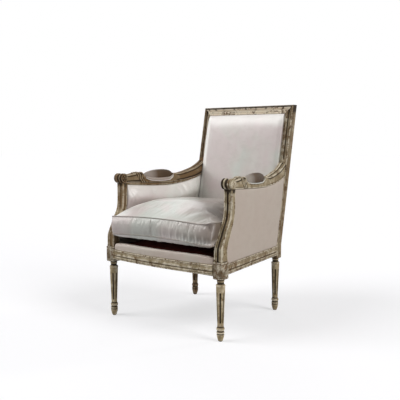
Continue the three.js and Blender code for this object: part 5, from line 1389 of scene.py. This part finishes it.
# Place along the front, height in mm, reach up the boxing and slant of each gather
GATHERS = np.array([
    (-0.262, 0.8, 0.5, 0.004), (-0.205, 0.6, 0.4, -0.004), (-0.150, 0.9, 0.6, 0.003), (-0.085, 1.0, 0.5, -0.006),
    (-0.052, 1.4, 0.9, 0.002), (-0.024, 1.6, 0.9, -0.002), (0.012, 1.6, 0.7, 0.006), (0.034, 2.6, 0.9, -0.006), (0.052, 1.8, 0.5, 0.008),
    (0.075, 3.0, 0.95, -0.004), (0.092, 2.0, 0.5, 0.006), (0.112, 3.2, 0.8, -0.008), (0.131, 2.4, 0.4, 0.006), (0.149, 3.4, 0.7, -0.006),
    (0.166, 2.6, 0.35, 0.006), (0.184, 3.6, 0.6, -0.01), (0.203, 3.0, 0.4, 0.004), (0.221, 3.6, 0.7, -0.01), (0.239, 2.4, 0.4, 0.008),
    (0.256, 3.0, 0.6, -0.012), (0.272, 2.2, 0.5, 0.004),
])


def gathers(x, height):
    """Gathers sewn into the lower seam: each a narrow ridge, exp(-(distance / 6 mm)^2), that starts
    at the seam, is highest a quarter up, leans by its slant and dies out over its reach."""
    place, size, reach, slant = (column[:, None] for column in GATHERS.T)
    distance = x - place - slant * height
    start = np.clip(height / 0.12, 0, 1)
    fade = np.clip(1 - height / (0.62 * reach), 0, 1) ** 0.8
    ridge = np.exp(-(distance / 0.0045) ** 2) - 0.30
    size = size * (0.35 + 0.65 * eased((place - 0.02) / 0.16))
    return (size * 0.0021 * start * fade * ridge * (np.abs(distance) < 0.03)).sum(axis=0)


place, faces = block_skin((230, 52, 14), 0.3)
u, v, w = place.T
rim = np.maximum(np.abs(u), np.abs(v))
clear = WELT_RADIUS * 1.3
lower, upper = seam_heights(u, v)
rise = (w + 1) / 2
boxed = np.abs(w) < 0.9999
swell = CUSHION_CROWN * (1 - np.abs(u) ** np.where(u < 0, 7.0, 4.5)) * (1 - np.abs(v) ** 3)
turn_up = 1 - np.sqrt(1 - rim ** 50)
sag = cushion_underside + 0.001 + 0.002 * u
under = sag + (lower - sag) * turn_up
height = np.where(w > 0.9999, upper + swell, np.where(w < -0.9999, under, lower + (upper - lower) * rise))
ends = WELT_RADIUS * 0.4
pout = 0.004 * np.sin(pi * np.clip((rim - 0.88) / 0.12, 0, 1))
bulge = CUSHION_BULGE * (1 - 0.7 * np.clip(u, 0, 1))
grow = np.where(boxed, bulge * np.sin(rise * pi) - clear + ends, (-clear + ends) * rim ** 3 + np.where(w < 0, pout, 0))
flare = np.clip((u + 0.1) / 0.7, 0, 1) * np.clip((-v - 0.94) / 0.06, 0, 1)
grow = grow + GATHER_FLARE * flare * np.where(boxed, (1 - rise) ** 1.5, (w < 0) * rim ** 8)
points = cushion_place(u, v, height, grow)
cushion = put("seat_cushion_boxed", points, faces.tolist(), cushion_satin, sharp=180)
# Painted light on the cushion's top: painted shade over the part towards positive x and the rear, a darker spot of
# painted shade by the support at positive x, and painted highlights lifting the front towards negative x.
top_painted_light = CUSHION_PAINTED_SHADE * eased((0.66 * (points[:, 0] + 0.15) + 0.75 * (points[:, 1] + 0.14)) / 0.17)
top_painted_light += 0.4 * np.exp(-((points[:, 0] - 0.26) / 0.07) ** 2 - ((points[:, 1] + 0.16) / 0.08) ** 2)
top_painted_light -= 0.7 * eased((-points[:, 0] - 0.15) / 0.09) * eased((-points[:, 1] - 0.02) / 0.1)
top_painted_light -= 0.3 * np.exp(-((points[:, 0] + 0.08) / 0.12) ** 2 - ((points[:, 1] + 0.15) / 0.12) ** 2)
# Painted light on the boxing: painted shade growing towards positive x, and painted highlights low down by the lower
# welt and along the ridges of the gathers.
boxing_painted_light = 0.14 + 0.11 * (u + 1) + 0.50 * np.clip(u, 0, 1) ** 1.2
boxing_painted_light -= 0.95 * np.clip(u, 0, 1) ** 0.5 * np.clip(1 - rise / 0.28, 0, 1)
on_front = boxed & (v < -0.9999)
ridges = gathers(points[on_front, 0], rise[on_front]) / 0.0028
boxing_painted_light[on_front] -= 0.5 * np.clip(ridges, -0.12, 1.5) * (1 - rise[on_front])
mark_tone_and_painted_light(cushion, np.where(boxed, boxing_painted_light, top_painted_light))
seams = (rim > 0.999) & ~boxed
resting = (w < -0.9999) & (rim < 0.85)
settle(cushion, seams | resting, 4.0, 0.03, 0.010)
surface = np.empty(len(points) * 3)
cushion.data.vertices.foreach_get("co", surface)
surface = surface.reshape(-1, 3)
surface[on_front, 1] -= gathers(surface[on_front, 0], rise[on_front])
cushion.data.vertices.foreach_set("co", surface.ravel())
cushion.data.update()
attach(cushion, "cushion")
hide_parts("seat_cushion")
rounded(cushion)
skin_tree = BVHTree.FromPolygons(surface.tolist(), faces.tolist())
for name, level in (("cushion_welt_bottom", -1), ("cushion_welt_top", 1)):
    ring = np.flatnonzero((rim > 0.9999) & (np.abs(w - level) < 1e-6))
    turn = np.arctan2(v[ring], u[ring])
    centres = surface[ring[np.argsort(turn)]]
    for _ in range(2):
        centres = (np.roll(centres, 1, axis=0) + 2 * centres + np.roll(centres, -1, axis=0)) / 4
    finer = (centres + np.roll(centres, -1, axis=0)) / 2
    centres = np.stack([centres, finer], axis=1).reshape(-1, 3)
    out, up = loop_frame(centres, np.tile([0.0, 0.0, 1.0], (len(centres), 1)))
    centres = centres + out * WELT_RADIUS * 0.55
    points, welt_faces, relief = joined([(tube(centres, out, up, WELT_RADIUS), 0.0, True)])
    welt = put(f"{name}_piped", points, welt_faces, seam_satin_painted_shadow)
    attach(welt, "cushion")
    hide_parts(name)

SEAM_X = -0.0395
seam_low, seam_high = (float(level[0]) for level in seam_heights(np.array([SEAM_X / front_rail_half]), np.array([-1.0])))
levels = np.linspace(seam_low + 0.003, seam_high - 0.003, 40)
hits = [skin_tree.ray_cast(Vector((SEAM_X, cushion_front - 0.1, z)), Vector((0, 1, 0)))[0] for z in levels]
line = np.array([tuple(hit) for hit in hits]) + (0, 0.0002, 0)
turn = np.arange(8) * 2 * pi / 8
tie = line[:, None] + np.stack([np.cos(turn) * 0.0012, np.sin(turn) * 0.0008, np.zeros(8)], axis=-1)
points, faces, relief = joined([(tie, 0.0, False)])
boxing_seam = put("cushion_boxing_seam", points, faces, seam_satin_painted_shadow)
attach(boxing_seam, "cushion")
